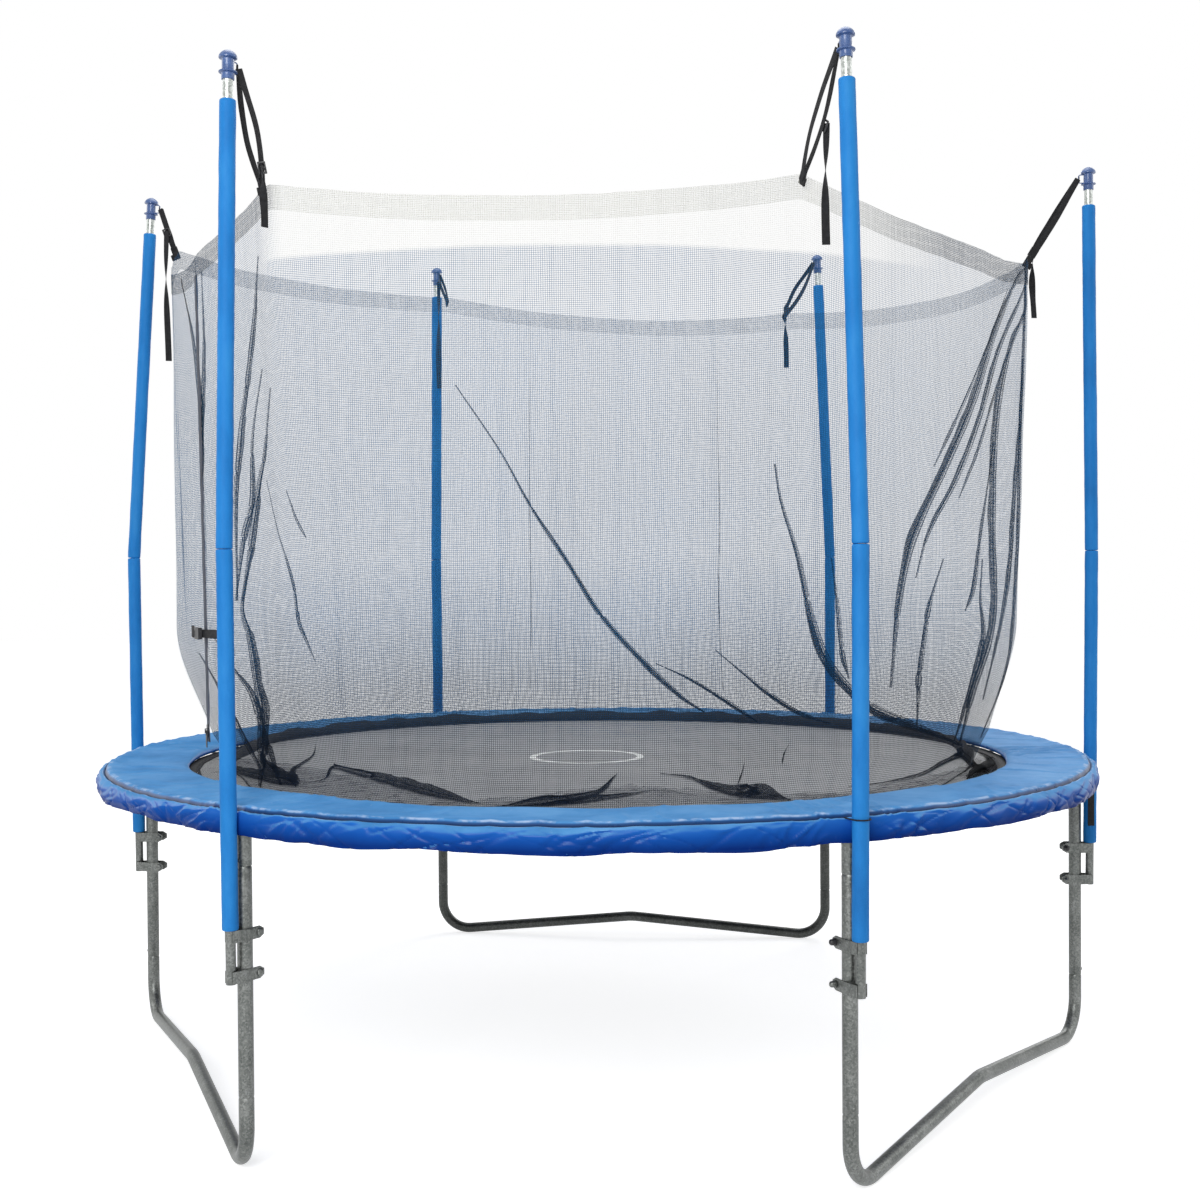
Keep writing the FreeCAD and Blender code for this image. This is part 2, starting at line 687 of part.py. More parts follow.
def spring(angle):
    """A closed coil drawn plain, with a hook in the ring's point and one in the rail's slot."""
    normal = along(angle)
    axis = RAIL_TOP - COIL_RADIUS
    start = RING_POINT + COIL_START
    grip = RING_POINT - RING_REACH / 3
    slot = rail_radius(angle) - SLOT_SET_IN
    coil = rod(polar(angle, start, axis), outward(angle), COIL_LENGTH, COIL_RADIUS, COIL_SIDES)
    inner_hook = [
        polar(angle, start, axis),
        polar(angle, grip, RING_HEIGHT + HOOK_LIFT),
        polar(angle, grip, RING_HEIGHT - HOOK_DROP),
    ]
    wall = RAIL_HEIGHT + math.sqrt((RAIL_TUBE / 2) ** 2 - SLOT_SET_IN ** 2)
    outer_hook = [
        polar(angle, start + COIL_LENGTH, axis),
        polar(angle, slot, wall),
        polar(angle, slot, wall - 2 * HOOK_DROP),
    ]
    return coil.fuse([bar(inner_hook, normal, WIRE), bar(outer_hook, normal, WIRE)])


# Spring pad and its ties


def skirt_flare(angle):
    """How far the skirt stands out at an angle: none at a pole, waved between poles."""
    nearest = min(abs((angle - a + 180.0) % 360.0 - 180.0) for a in POSTS.values())
    away = min(1.0, max(0.0, nearest / SKIRT_FLAT - 1.0))
    ease = away * away * (3 - 2 * away)
    wave = 0.75 + 0.25 * math.cos(math.radians(angle * SKIRT_WAVES))
    return SKIRT_FLARE * ease * wave


def spring_pad():
    """The padded ring over the springs, its outer edge falling as a skirt."""
    under = RAIL_TOP + PAD_FIT
    top = under + PAD_THICKNESS
    skirt_in = FRAME_RADIUS + RAIL_CORNER + SKIRT_FIT
    sections = []
    for k in range(PAD_STEPS):
        angle = 360.0 * k / PAD_STEPS
        flare = skirt_flare(angle)
        outline = [
            (PAD_INNER_RADIUS, under + PAD_EDGE_LIFT),
            (PAD_INNER_RADIUS, under + PAD_EDGE_THICKNESS),
            (PAD_INNER_RADIUS + PAD_EDGE_SLOPE, top),
            (FRAME_RADIUS - RAIL_TUBE / 2, top),
            (skirt_in + SKIRT_THICKNESS - PAD_SHOULDER_IN + flare * 0.3, top - PAD_SHOULDER_DROP),
            (skirt_in + SKIRT_THICKNESS + flare * 0.6, under - SKIRT_START),
            (skirt_in + SKIRT_THICKNESS + flare, under - SKIRT_DROP),
            (skirt_in + flare, under - SKIRT_DROP),
            (skirt_in + flare * 0.6, under - SKIRT_ROOT),
            (FRAME_RADIUS + RAIL_TUBE * 0.35, under),
        ]
        sections.append([polar(angle, r, z) for r, z in outline])
    return skin(sections, closed=True)


def tie_cord(angle):
    """An elastic cord from the pad's edge round a foam sleeve and back."""
    share = (TIE_CORD_HEIGHT - POLE_BOTTOM) / (POLE_JOINT_HEIGHT - POLE_BOTTOM)
    centre = polar(angle, POLE_FOOT_RADIUS + POLE_JOINT_OUTWARD * share, TIE_CORD_HEIGHT)
    x, y = outward(angle), along(angle)
    reach = FOAM_CORNER + TIE_CORD_CLEAR + TIE_CORD / 2
    edge = FRAME_RADIUS + RAIL_CORNER + SKIRT_FIT + SKIRT_THICKNESS - TIE_CORD_SET_IN - centre.dot(x)
    outline = [(edge, reach), (reach * 0.4, reach), (reach, reach * 0.4)]
    outline += [(a, -b) for a, b in reversed(outline)]
    return bar([centre + x * a + y * b for a, b in outline], UP, TIE_CORD)


def tie_tail(angle):
    """A webbing tie that leaves the skirt's hem beside a foam sleeve and hangs down."""
    x, y = outward(angle), along(angle)
    top = RAIL_TOP + PAD_FIT - SKIRT_DROP + STRAP_WIDTH / 2
    edge = FRAME_RADIUS + RAIL_CORNER + SKIRT_FIT + SKIRT_THICKNESS + 1
    outer = POLE_FOOT_RADIUS + STRAP_WIDTH / 2
    outline = [
        (edge, top),
        (outer, top),
        (outer, top - TIE_TAIL_LENGTH),
        (outer - STRAP_WIDTH, top - TIE_TAIL_LENGTH),
        (outer - STRAP_WIDTH, top - STRAP_WIDTH),
        (edge, top - STRAP_WIDTH),
    ]
    beside = y * -(FOAM_CORNER + TIE_TAIL_CLEAR)
    return prism([x * r + UP * z + beside for r, z in outline], y * -STRAP_THICKNESS)


# Net


def net_angle(name, section):
    """Angle of one of the net's sections, counted from a pole to the next."""
    after = POST_ORDER[(POST_ORDER.index(name) + 1) % len(POST_ORDER)]
    width = (POSTS[after] - POSTS[name]) % 360.0
    return POSTS[name] + width * section / NET_SECTIONS


def net_profile(name, section):
    """Radius and height down the net, from its foot on the mat to its top edge."""
    after = POST_ORDER[(POST_ORDER.index(name) + 1) % len(POST_ORDER)]
    share = section / NET_SECTIONS
    drop = 4 * share * (1 - share)
    edge = []
    for a, b, middle in zip(NET_CORNERS[name], NET_CORNERS[after], NET_MIDDLES[name]):
        edge.append(a + (b - a) * share + (middle - (a + b) / 2) * drop)
    top_radius, top_height = FRAME_RADIUS - edge[0], POLE_TOP_HEIGHT - edge[1]
    fold = NET_FOLD_DEPTH * math.sin(2 * math.pi * NET_FOLDS * share)

    def wall(height):
        part = (height - NET_KNEE_HEIGHT) / (top_height - NET_KNEE_HEIGHT)
        return NET_KNEE_RADIUS + (top_radius - NET_KNEE_RADIUS) * part

    hem = top_height - NET_HEM_HEIGHT
    return [
        (NET_FOOT_RADIUS - NET_FOOT_REACH, NET_REST),
        (NET_FOOT_RADIUS, NET_REST),
        (NET_KNEE_RADIUS + fold * 0.6, NET_KNEE_HEIGHT),
        (wall(NET_WAIST_HEIGHT) + fold, NET_WAIST_HEIGHT),
        (wall(hem) + fold * 0.4, hem),
        (top_radius + NET_HEM_GROWTH, top_height),
    ]


def safety_net():
    sections = []
    for name in POST_ORDER:
        for section in range(NET_SECTIONS):
            angle = net_angle(name, section)
            outside = net_profile(name, section)
            inside = [(r - NET_THICKNESS, z + (NET_THICKNESS if k < 2 else 0)) for k, (r, z) in enumerate(outside)]
            sections.append([polar(angle, r, z) for r, z in outside + inside[::-1]])
    return skin(sections, closed=True)


def net_point(name, section, height):
    """A point on the net's outer side."""
    profile = net_profile(name, section)
    angle = net_angle(name, section)
    for (r0, z0), (r1, z1) in zip(profile, profile[1:]):
        if z0 < height <= z1:
            return polar(angle, r0 + (r1 - r0) * (height - z0) / (z1 - z0), height)
    return polar(angle, profile[-1][0], height)


# Straps and their buckles


def strap_ends(name):
    """The middle of the eyelet's upright bar, and the middle of the strap's end at the net."""
    base, axis, inward = cap_frame(name)
    reach = CAP_NECK_RADIUS + EYELET_REACH - EYELET_BAR / 2
    bar_middle = base + axis * (CAP_NECK_START + EYELET_HEIGHT / 2) + inward * reach
    set_in, drop = NET_CORNERS[name]
    radius = FRAME_RADIUS - set_in + STRAP_END_CLEAR
    return bar_middle, polar(POSTS[name], radius, POLE_TOP_HEIGHT - drop - STRAP_END_DROP)


def strap_loop(name):
    """The doubled webbing: round the eyelet's bar above, its two ends together at the net."""
    axis, inward = cap_frame(name)[1:]
    top, end = strap_ends(name)
    side = along(POSTS[name])
    way = (end - top).normalize()
    across = side.cross(way)
    if across.dot(axis) < 0:
        across = across * -1
    gap = EYELET_BAR / 2
    turned = (axis + across).normalize()
    half = [
        (end, 0.2, across, 0.0),
        (top + inward * STRAP_LEAD, gap, turned, 0.0),
        (top - inward * gap, gap, axis, -STRAP_THICKNESS),
    ]
    rings = []
    for hand in (-1, 1):
        stations = half if hand < 0 else half[::-1]
        for centre, offset, width, beyond in stations:
            inner = centre + side * (hand * offset)
            outer = centre + side * (hand * (offset + STRAP_THICKNESS)) + inward * beyond
            up = width * (STRAP_WIDTH / 2)
            rings.append([inner - up, inner + up, outer + up, outer - up])
    return skin(rings)


def buckle_frame(name):
    """Middle of the buckle's inner face, the strap's direction, and the buckle's side."""
    top, end = strap_ends(name)
    side = along(POSTS[name])
    away = EYELET_BAR / 2 + STRAP_THICKNESS
    return mix(top, end, BUCKLE_PLACE) + side * away, (end - top).normalize(), side


def strap_buckle(name):
    """A ladder buckle flat against the strap, with two slots."""
    centre, way, side = buckle_frame(name)
    across = way.cross(side)
    middle = centre + side * (BUCKLE_THICKNESS / 2)
    frame = block(middle, way, side, across, BUCKLE_LENGTH, BUCKLE_THICKNESS, BUCKLE_WIDTH)
    slot = (BUCKLE_LENGTH - 3 * BUCKLE_BAR) / 2
    cuts = []
    for hand in (-1, 1):
        place = middle + way * (hand * (slot + BUCKLE_BAR) / 2)
        cuts.append(block(place, way, side, across, slot, 2 * BUCKLE_THICKNESS, BUCKLE_WIDTH - 2 * BUCKLE_BAR))
    return frame.cut(Part.makeCompound(cuts))


def strap_tail(name):
    """The free end of a strap, hanging from its buckle."""
    centre, way, side = buckle_frame(name)
    length = TAIL_LENGTHS[name]
    top = centre + side * (BUCKLE_THICKNESS + TAIL_GAP + STRAP_THICKNESS / 2)
    middle = top - UP * (length / 2 - BUCKLE_BAR)
    return block(middle, outward(POSTS[name]), side, UP, STRAP_WIDTH, STRAP_THICKNESS, length)


# Door: zip, slider with pull, and a side-release clip


def door_frame(height):
    """A point on the net at the zip, with the zip's upward, sideways and outward directions."""
    name = POST_ORDER[0]
    low = net_point(name, DOOR_SECTION, ZIP_BOTTOM)
    high = net_point(name, DOOR_SECTION, ZIP_TOP)
    way = (high - low).normalize()
    before, after = [net_point(name, DOOR_SECTION + k, NET_WAIST_HEIGHT) for k in (-1, 1)]
    out = (after - before).cross(way).normalize()
    return at_height(low, high, height), way, way.cross(out), out


def door_zip():
    point, way, side, out = door_frame((ZIP_BOTTOM + ZIP_TOP) / 2)
    middle = point + out * (ZIP_GAP + ZIP_THICKNESS / 2)
    return block(middle, way, side, out, (ZIP_TOP - ZIP_BOTTOM) / way.z, ZIP_WIDTH, ZIP_THICKNESS)


def slider_frame():
    """Middle of the slider's inner face when the door is closed, and its directions."""
    point, way, side, out = door_frame(ZIP_BOTTOM)
    lift = ZIP_GAP + ZIP_THICKNESS + SLIDER_FIT
    return point + way * (ZIP_END + SLIDER_LENGTH / 2) + out * lift, way, side, out


def zip_slider():
    """A slider tapered to its nose, with a bridge that holds the pull."""
    centre, way, side, out = slider_frame()
    length, half, nose = SLIDER_LENGTH / 2, SLIDER_WIDTH / 2, SLIDER_NOSE / 2
    outline = [(-length, -nose), (0, -half), (length, -half), (length, half), (0, half), (-length, nose)]
    plate = prism([centre + way * a + side * b for a, b in outline], out * SLIDER_THICKNESS)
    inner, outer = BRIDGE_OPENING / 2, BRIDGE_OPENING / 2 + BRIDGE_BAR
    clear, top = BRIDGE_CLEAR, BRIDGE_CLEAR + BRIDGE_BAR
    arch = [(-outer, 0), (-outer, top), (outer, top), (outer, 0), (inner, 0), (inner, clear), (-inner, clear), (-inner, 0)]
    face = centre + out * SLIDER_THICKNESS - side * (BRIDGE_WIDTH / 2)
    return plate.fuse(prism([face + way * a + out * b for a, b in arch], side * BRIDGE_WIDTH))


def pull_pivot():
    centre, way, side, out = slider_frame()
    return centre + out * (SLIDER_THICKNESS + BRIDGE_CLEAR / 2)


def zip_pull():
    """A tapered tab hanging from its top bar, which turns under the slider's bridge."""
    way, side, out = slider_frame()[1:]
    pivot = pull_pivot()
    half, end = PULL_WIDTH / 2, PULL_LENGTH
    bar_half, gap = PULL_BAR / 2, PULL_HOLE_WIDTH / 2
    inner = pivot - out * bar_half
    outline = [(bar_half, -half), (bar_half, half), (-end * 0.4, half), (-end, half * 0.6)]
    outline += [(-end, -half * 0.6), (-end * 0.4, -half)]
    tab = prism([inner + way * a + side * b for a, b in outline], out * PULL_BAR)
    middle = pivot - way * (bar_half + PULL_HOLE_LENGTH / 2)
    return tab.cut(block(middle, way, side, out, PULL_HOLE_LENGTH, 2 * gap, 2 * PULL_BAR))


def clip_frame():
    """The middle of the clip's parting line, with its upward, sideways and outward directions."""
    point, way, side, out = door_frame(CLIP_HEIGHT)
    lift = ZIP_GAP + ZIP_THICKNESS + CLIP_STANDOFF + CLIP_THICKNESS / 2
    return point + out * lift + side * CLIP_SEAM, way, side, out


def clip_socket():
    """The clip's hollow half, open to the tongue and at both edges where the prongs spring out."""
    seam, way, side, out = clip_frame()
    body = block(seam - side * (SOCKET_LENGTH / 2), side, way, out, SOCKET_LENGTH, CLIP_WIDTH, CLIP_THICKNESS)
    height = CLIP_THICKNESS - 2 * SOCKET_WALL
    room = block(seam - side * (SOCKET_DEPTH / 2), side, way, out, SOCKET_DEPTH, CLIP_WIDTH - 2 * SOCKET_WALL, height)
    window = block(seam - side * (SOCKET_DEPTH * 0.7), side, way, out, SOCKET_DEPTH * 0.4, CLIP_WIDTH * 2, height)
    return body.cut(room.fuse(window))


def clip_tongue():
    """The clip's other half: a base with a guide and two prongs that fill the socket."""
    seam, way, side, out = clip_frame()
    seam = seam + side * TONGUE_SEAT
    base = block(seam + side * (TONGUE_BASE / 2), side, way, out, TONGUE_BASE, CLIP_WIDTH, CLIP_THICKNESS)
    half = CLIP_WIDTH / 2 - SOCKET_WALL - CLIP_FIT
    thick = CLIP_THICKNESS - 2 * SOCKET_WALL - 2 * CLIP_FIT
    outline = [(0, half), (-TONGUE_REACH, half), (-TONGUE_REACH, half - TONGUE_PRONG), (0, half - TONGUE_PRONG * 1.5)]
    solids = []
    for hand in (-1, 1):
        points = [seam + side * a + way * (b * hand) - out * (thick / 2) for a, b in outline]
        solids.append(prism(points, out * thick))
    guide = block(seam - side * (TONGUE_REACH / 3), side, way, out, TONGUE_REACH * 2 / 3, TONGUE_PRONG * 2, thick)
    return base.fuse(solids + [guide])


def clip_strap(hand):
    """Webbing from behind one end of the clip back to the net beside the door."""
    seam, way, side, out = clip_frame()
    reach = TONGUE_BASE if hand > 0 else SOCKET_LENGTH
    behind = CLIP_THICKNESS / 2 + CLIP_STRAP_GAP + STRAP_THICKNESS / 2
    near = seam + side * (hand * reach / 2) - out * behind
    far = net_point(POST_ORDER[0], DOOR_SECTION + hand, CLIP_HEIGHT) + out * (STRAP_THICKNESS / 2 + ZIP_GAP)
    rings = []
    for point, thick in ((near, out), (far, out)):
        up, lift = way * (CLIP_STRAP_WIDTH / 2), thick * (STRAP_THICKNESS / 2)
        rings.append([point + up + lift, point - up + lift, point - up - lift, point + up - lift])
    return skin(rings)


# Build and save

for post_name, post_angle in POSTS.items():
    save("rail_" + post_name, rail_section(post_angle))
    save("leg_extension_" + post_name, leg_extension(post_angle))
    save("pole_lower_" + post_name, pole_lower(post_name))
    save("pole_upper_" + post_name, pole_upper(post_name))
    foam_lower, foam_upper = foam_sleeves(post_name)
    save("foam_lower_" + post_name, foam_lower)
    save("foam_upper_" + post_name, foam_upper)
for set_name, set_angle in LEG_SETS.items():
    save("leg_base_" + set_name, leg_base(set_angle))

save("pole_caps", *[pole_cap(name) for name in POSTS])
clamps = [(angle, height) for angle in POSTS.values() for height in CLAMP_HEIGHTS]
save("clamp_halves", *[clamp_half(a, h, hand) for a, h in clamps for hand in (-1, 1)])
save("clamp_bolts", *[clamp_bolt(a, h, 1) for a, h in clamps])
save("cap_nuts", *[cap_nut(a, h, 1) for a, h in clamps])

save("jumping_mat", jumping_mat())
save("mat_hem", hem_band(MAT_HEIGHT), hem_band(RING_HEIGHT - WIRE / 2 - HEM_THICKNESS))
save("mat_rings", *[mat_ring(a) for a in spring_angles()])
save("springs", *[spring(a) for a in spring_angles()])
save("spring_pad", spring_pad())
save("pad_ties", tie_cord(POSTS["front_right"]), tie_tail(POSTS["right"]))

save("safety_net", safety_net())
save("net_straps", *[strap_loop(name) for name in POSTS])
save("strap_tails", *[strap_tail(name) for name in POSTS])
save("strap_buckles", *[strap_buckle(name) for name in POSTS])
save("door_zip", door_zip())
save("zip_slider", zip_slider())
save("zip_pull", zip_pull())
save("door_clip_socket", clip_socket())
save("door_clip_tongue", clip_tongue())
save("door_clip_straps", clip_strap(-1), clip_strap(1))
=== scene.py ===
import math

import bmesh
import bpy
import numpy as np
from mathutils import Matrix, Vector, noise

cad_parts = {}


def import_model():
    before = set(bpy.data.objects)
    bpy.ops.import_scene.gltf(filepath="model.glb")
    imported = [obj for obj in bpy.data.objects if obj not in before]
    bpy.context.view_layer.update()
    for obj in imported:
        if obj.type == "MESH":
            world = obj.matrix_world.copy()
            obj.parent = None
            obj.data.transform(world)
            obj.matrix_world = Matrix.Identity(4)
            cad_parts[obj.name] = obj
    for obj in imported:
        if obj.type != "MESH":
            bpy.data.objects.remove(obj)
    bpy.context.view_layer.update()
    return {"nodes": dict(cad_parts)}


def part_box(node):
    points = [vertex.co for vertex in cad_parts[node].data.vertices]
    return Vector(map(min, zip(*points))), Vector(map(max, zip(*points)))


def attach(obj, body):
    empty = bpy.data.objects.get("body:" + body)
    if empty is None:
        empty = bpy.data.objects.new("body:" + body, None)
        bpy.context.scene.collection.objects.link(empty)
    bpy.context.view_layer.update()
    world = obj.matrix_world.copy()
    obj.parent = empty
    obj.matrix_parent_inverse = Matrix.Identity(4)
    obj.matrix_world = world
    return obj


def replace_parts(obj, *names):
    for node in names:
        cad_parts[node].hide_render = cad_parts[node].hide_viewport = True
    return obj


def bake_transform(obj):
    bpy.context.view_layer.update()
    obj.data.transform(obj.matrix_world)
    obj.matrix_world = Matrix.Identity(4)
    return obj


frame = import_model()

# A round trampoline with a net enclosure, dressed for a studio view.
# Metres, +Z up, the origin on the ground below the centre, the viewer at -Y.

UP = Vector((0, 0, 1))

# Posts, counted as the part counts them, and the sizes shared with the part
LEG_SPREAD = 31.1
LEG_SETS = {"left": -150.0, "right": -30.0, "back": 90.0}
POSTS = {
    "left": LEG_SETS["left"] - LEG_SPREAD,
    "front_left": LEG_SETS["left"] + LEG_SPREAD,
    "front_right": LEG_SETS["right"] - LEG_SPREAD,
    "right": LEG_SETS["right"] + LEG_SPREAD,
    "back_right": LEG_SETS["back"] - LEG_SPREAD,
    "back_left": LEG_SETS["back"] + LEG_SPREAD,
}
POST_ORDER = list(POSTS)
FRAME_RADIUS = 1.506
RAIL_HEIGHT = 0.862
RAIL_RADIUS = 0.021
LEG_RADIUS = 0.019
POLE_RADIUS = 0.0125
WALL = 0.0015
SOCKET_MOUTH = 0.762
BASE_JOINT = 0.198
SEAM_GAP = 0.0006
SWAGE = 0.05
FOOT_RADIUS = 0.106
HUMP_RADIUS = 0.260
HUMP_RISE = 0.069
POLE_FOOT = (1.551, 0.481)
POLE_JOINT = (1.559, 1.530)
POLE_TOP = 2.688
POLE_DRAWN_IN = {
    "left": 0.073,
    "front_left": 0.027,
    "front_right": 0.055,
    "right": 0.008,
    "back_right": 0.093,
    "back_left": 0.036,
}
FOAM_RADIUS = 0.020
FOAM_LOW = 0.6125
FOAM_TOP = 2.608
CLAMP_HEIGHTS = (0.498, 0.597)
MAT_RADIUS = 1.290
MAT_TOP = 0.877
MAT_THICKNESS = 0.003
HEM_WIDTH = 0.045
HEM_THICKNESS = 0.002
SPRINGS = 48
PAD_INNER = 1.272
PAD_UNDER = 0.88275
SKIRT_RADIUS = 1.5293
SEAM_RADIUS = 1.516
NET_KNEE = (1.295, 1.0)
NET_FOOT = (1.258, 0.8800)
# the net's top edge at each pole, then halfway to the next pole: radius, height
NET_CORNERS = {
    "left": (1.391, 2.550),
    "front_left": (1.414, 2.431),
    "front_right": (1.298, 2.439),
    "right": (1.356, 2.447),
    "back_right": (1.200, 2.462),
    "back_left": (1.395, 2.585),
}
NET_MIDDLES = {
    "left": (1.305, 2.340),
    "front_left": (1.300, 2.366),
    "front_right": (1.320, 2.330),
    "right": (1.300, 2.430),
    "back_right": (1.290, 2.495),
    "back_left": (1.310, 2.552),
}
DOOR_ANGLE = -139.63


# Small geometry helpers


def polar(angle, radius, height):
    a = math.radians(angle)
    return Vector((radius * math.cos(a), radius * math.sin(a), height))


def outward(angle):
    return polar(angle, 1.0, 0.0)


def along(angle):
    return polar(angle + 90.0, 1.0, 0.0)


def mix(a, b, share):
    return a + (b - a) * share


def smooth(share):
    share = min(1.0, max(0.0, share))
    return share * share * (3 - 2 * share)


def rough(point, size, depth=1.0, seed=0.0):
    """Smooth unevenness from -depth to depth, with features of about the given size."""
    return depth * noise.noise(Vector(point) / size + Vector((seed, seed * 0.7, -seed)))


def apart(angle, other):
    """Degrees between two directions, from 0 to 180."""
    return abs((angle - other + 180.0) % 360.0 - 180.0)


def circle(centre, a, b, radius, count):
    """Points of a circle, from direction a towards direction b."""
    turns = [2 * math.pi * k / count for k in range(count)]
    return [centre + (a * math.cos(t) + b * math.sin(t)) * radius for t in turns]


def bend(before, corner, after, radius, segments):
    """Points of the arc that rounds a corner, its two tangent points included."""
    a = (before - corner).normalized()
    b = (after - corner).normalized()
    half = a.angle(b) / 2
    centre = corner + (a + b).normalized() * (radius / math.sin(half))
    start = corner + a * (radius / math.tan(half)) - centre
    end = corner + b * (radius / math.tan(half)) - centre
    turn = start.angle(end)
    points = []
    for k in range(segments + 1):
        t = turn * k / segments
        points.append(centre + (start * math.sin(turn - t) + end * math.sin(t)) / math.sin(turn))
    return points


def curve_through(points, steps):
    """A smooth path through chosen points, each span cut into steps."""
    path = []
    padded = [points[0] * 2 - points[1]] + list(points) + [points[-1] * 2 - points[-2]]
    for a, b, c, d in zip(padded, padded[1:], padded[2:], padded[3:]):
        for k in range(steps):
            t = k / steps
            turned = (a * 2 - b * 5 + c * 4 - d) * t * t
            path.append((b * 2 + (c - a) * t + turned + (b * 3 - a - c * 3 + d) * t ** 3) / 2)
    path.append(points[-1].copy())
    return path


def heading(path, k):
    """The unit direction of a path at its point k."""
    return (path[min(k + 1, len(path) - 1)] - path[max(k - 1, 0)]).normalized()


def distances(path):
    """How far along a path each of its points lies."""
    places = [0.0]
    for a, b in zip(path, path[1:]):
        places.append(places[-1] + (b - a).length)
    return places


def carried_frames(path, side):
    """Per point of a path: its way and two directions square to it, carried along without twist."""
    result = []
    for k in range(len(path)):
        way = heading(path, k)
        side = (side - way * side.dot(way)).normalized()
        result.append((way, side, way.cross(side)))
    return result


# Flat webbing is this share as thick at its edges as in its middle
WEBBING_EDGE = 0.55


class Piece:
    """The vertices and faces of one piece, with cloth coordinates in metres at the face corners."""

    def __init__(self):
        self.points = []
        self.faces = []
        self.corners = []

    def grid(self, rows, around=False, joined=False, cloth=None, ends=False):
        """Quads between rows of points; around closes each row, joined closes the last row to the
        first, and ends puts a flat face on the first and the last row."""
        start, count = len(self.points), len(rows[0])
        for row in rows:
            self.points.extend(row)
        for i in range(len(rows) - (not joined)):
            for k in range(count - (not around)):
                i2, k2 = (i + 1) % len(rows), (k + 1) % count
                quad = (i * count + k, i * count + k2, i2 * count + k2, i2 * count + k)
                self.faces.append([start + q for q in quad])
                spots = ((i, k), (i, k + 1), (i + 1, k + 1), (i + 1, k))
                self.corners += [cloth(*spot) if cloth else (0.0, 0.0) for spot in spots]
        if ends:
            for first in (start, start + (len(rows) - 1) * count):
                self.faces.append(list(range(first, first + count)))
                self.corners += [(0.0, 0.0)] * count

    def tube(self, path, radii, side, sides=32, bores=None):
        """A round tube along a path; bores make it hollow, and otherwise its ends are flat."""
        frames = carried_frames(path, side)

        def ring(k, radius):
            return circle(path[k], frames[k][1], frames[k][2], radius, sides)

        rows = [ring(k, r) for k, r in enumerate(radii)]
        if bores:
            rows += [ring(k, r) for k, r in reversed(list(enumerate(bores)))]
        length = distances(path)
        places = length + length[::-1] + length[:1]
        width = 2 * math.pi * max(radii)
        self.grid(rows, True, bool(bores), lambda i, k: (width * k / sides, places[i]), not bores)

    def lathe(self, base, axis, side, profile, segments=48):
        """A turned shape: (height, radius) points round an axis, with flat ends."""
        other = axis.cross(side)
        rows = [circle(base + axis * height, side, other, radius, segments) for height, radius in profile]
        self.grid(rows, True, ends=True)

    def ribbon(self, path, widths, sides, thickness):
        """Flat webbing along a path; sides are its width's directions, and cloth runs along it."""
        rows = []
        for k, (point, width) in enumerate(zip(path, widths)):
            way = heading(path, k)
            side = (sides[k] - way * sides[k].dot(way)).normalized()
            lift = way.cross(side) * thickness / 2
            half = side * width / 2
            row = []
            for hand in (1, -1):
                for share in (-1.0, -0.5, 0.0, 0.5, 1.0):
                    belly = WEBBING_EDGE if abs(share) == 1.0 else 1.0
                    row.append(point + half * (share * hand) + lift * (hand * belly))
            rows.append(row)
        turned = (0.0, 0.25, 0.5, 0.75, 1.0, 1.0, 0.75, 0.5, 0.25, 0.0, 0.0)
        places = distances(path)
        self.grid(rows, True, False, lambda i, k: (turned[k] * max(widths), places[i]), True)

    def block(self, centre, x, y, z, length, width, height, edge):
        """A box along three square directions, its edges cut back all round."""
        rows = []
        for k, up in ((1, -1), (0, -1), (0, 1), (1, 1)):
            a, b = length / 2 - edge * k, width / 2 - edge * k
            rise = z * (up * (height / 2 - (0 if k else edge)))
            outline = (
                (a - edge, -b), (a, -b + edge), (a, b - edge), (a - edge, b),
                (-a + edge, b), (-a, b - edge), (-a, -b + edge), (-a + edge, -b),
            )
            rows.append([centre + x * p + y * q + rise for p, q in outline])
        self.grid(rows, True, ends=True)

    def build(self, name, material, slot, body="frame", sharp=40.0, open_sheet=False):
        """Makes the object: sharp edges beyond an angle, faces outward unless it is an open sheet."""
        mesh = bpy.data.meshes.new(name)
        mesh.from_pydata([tuple(p) for p in self.points], [], self.faces)
        layer = mesh.uv_layers.new(name="Cloth")
        layer.data.foreach_set("uv", np.array(self.corners, np.float32).ravel())
        mesh.validate()
        if not open_sheet:
            turn_outward(mesh)
        mesh.shade_smooth()
        if sharp:
            mesh.set_sharp_from_angle(angle=math.radians(sharp))
        mesh.materials.append(material)
        obj = bpy.data.objects.new(name, mesh)
        bpy.context.scene.collection.objects.link(obj)
        if body:
            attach(obj, body)
        return obj


def turn_outward(mesh):
    shape = bmesh.new()
    shape.from_mesh(mesh)
    bmesh.ops.recalc_face_normals(shape, faces=shape.faces)
    shape.to_mesh(mesh)
    shape.free()


# Materials


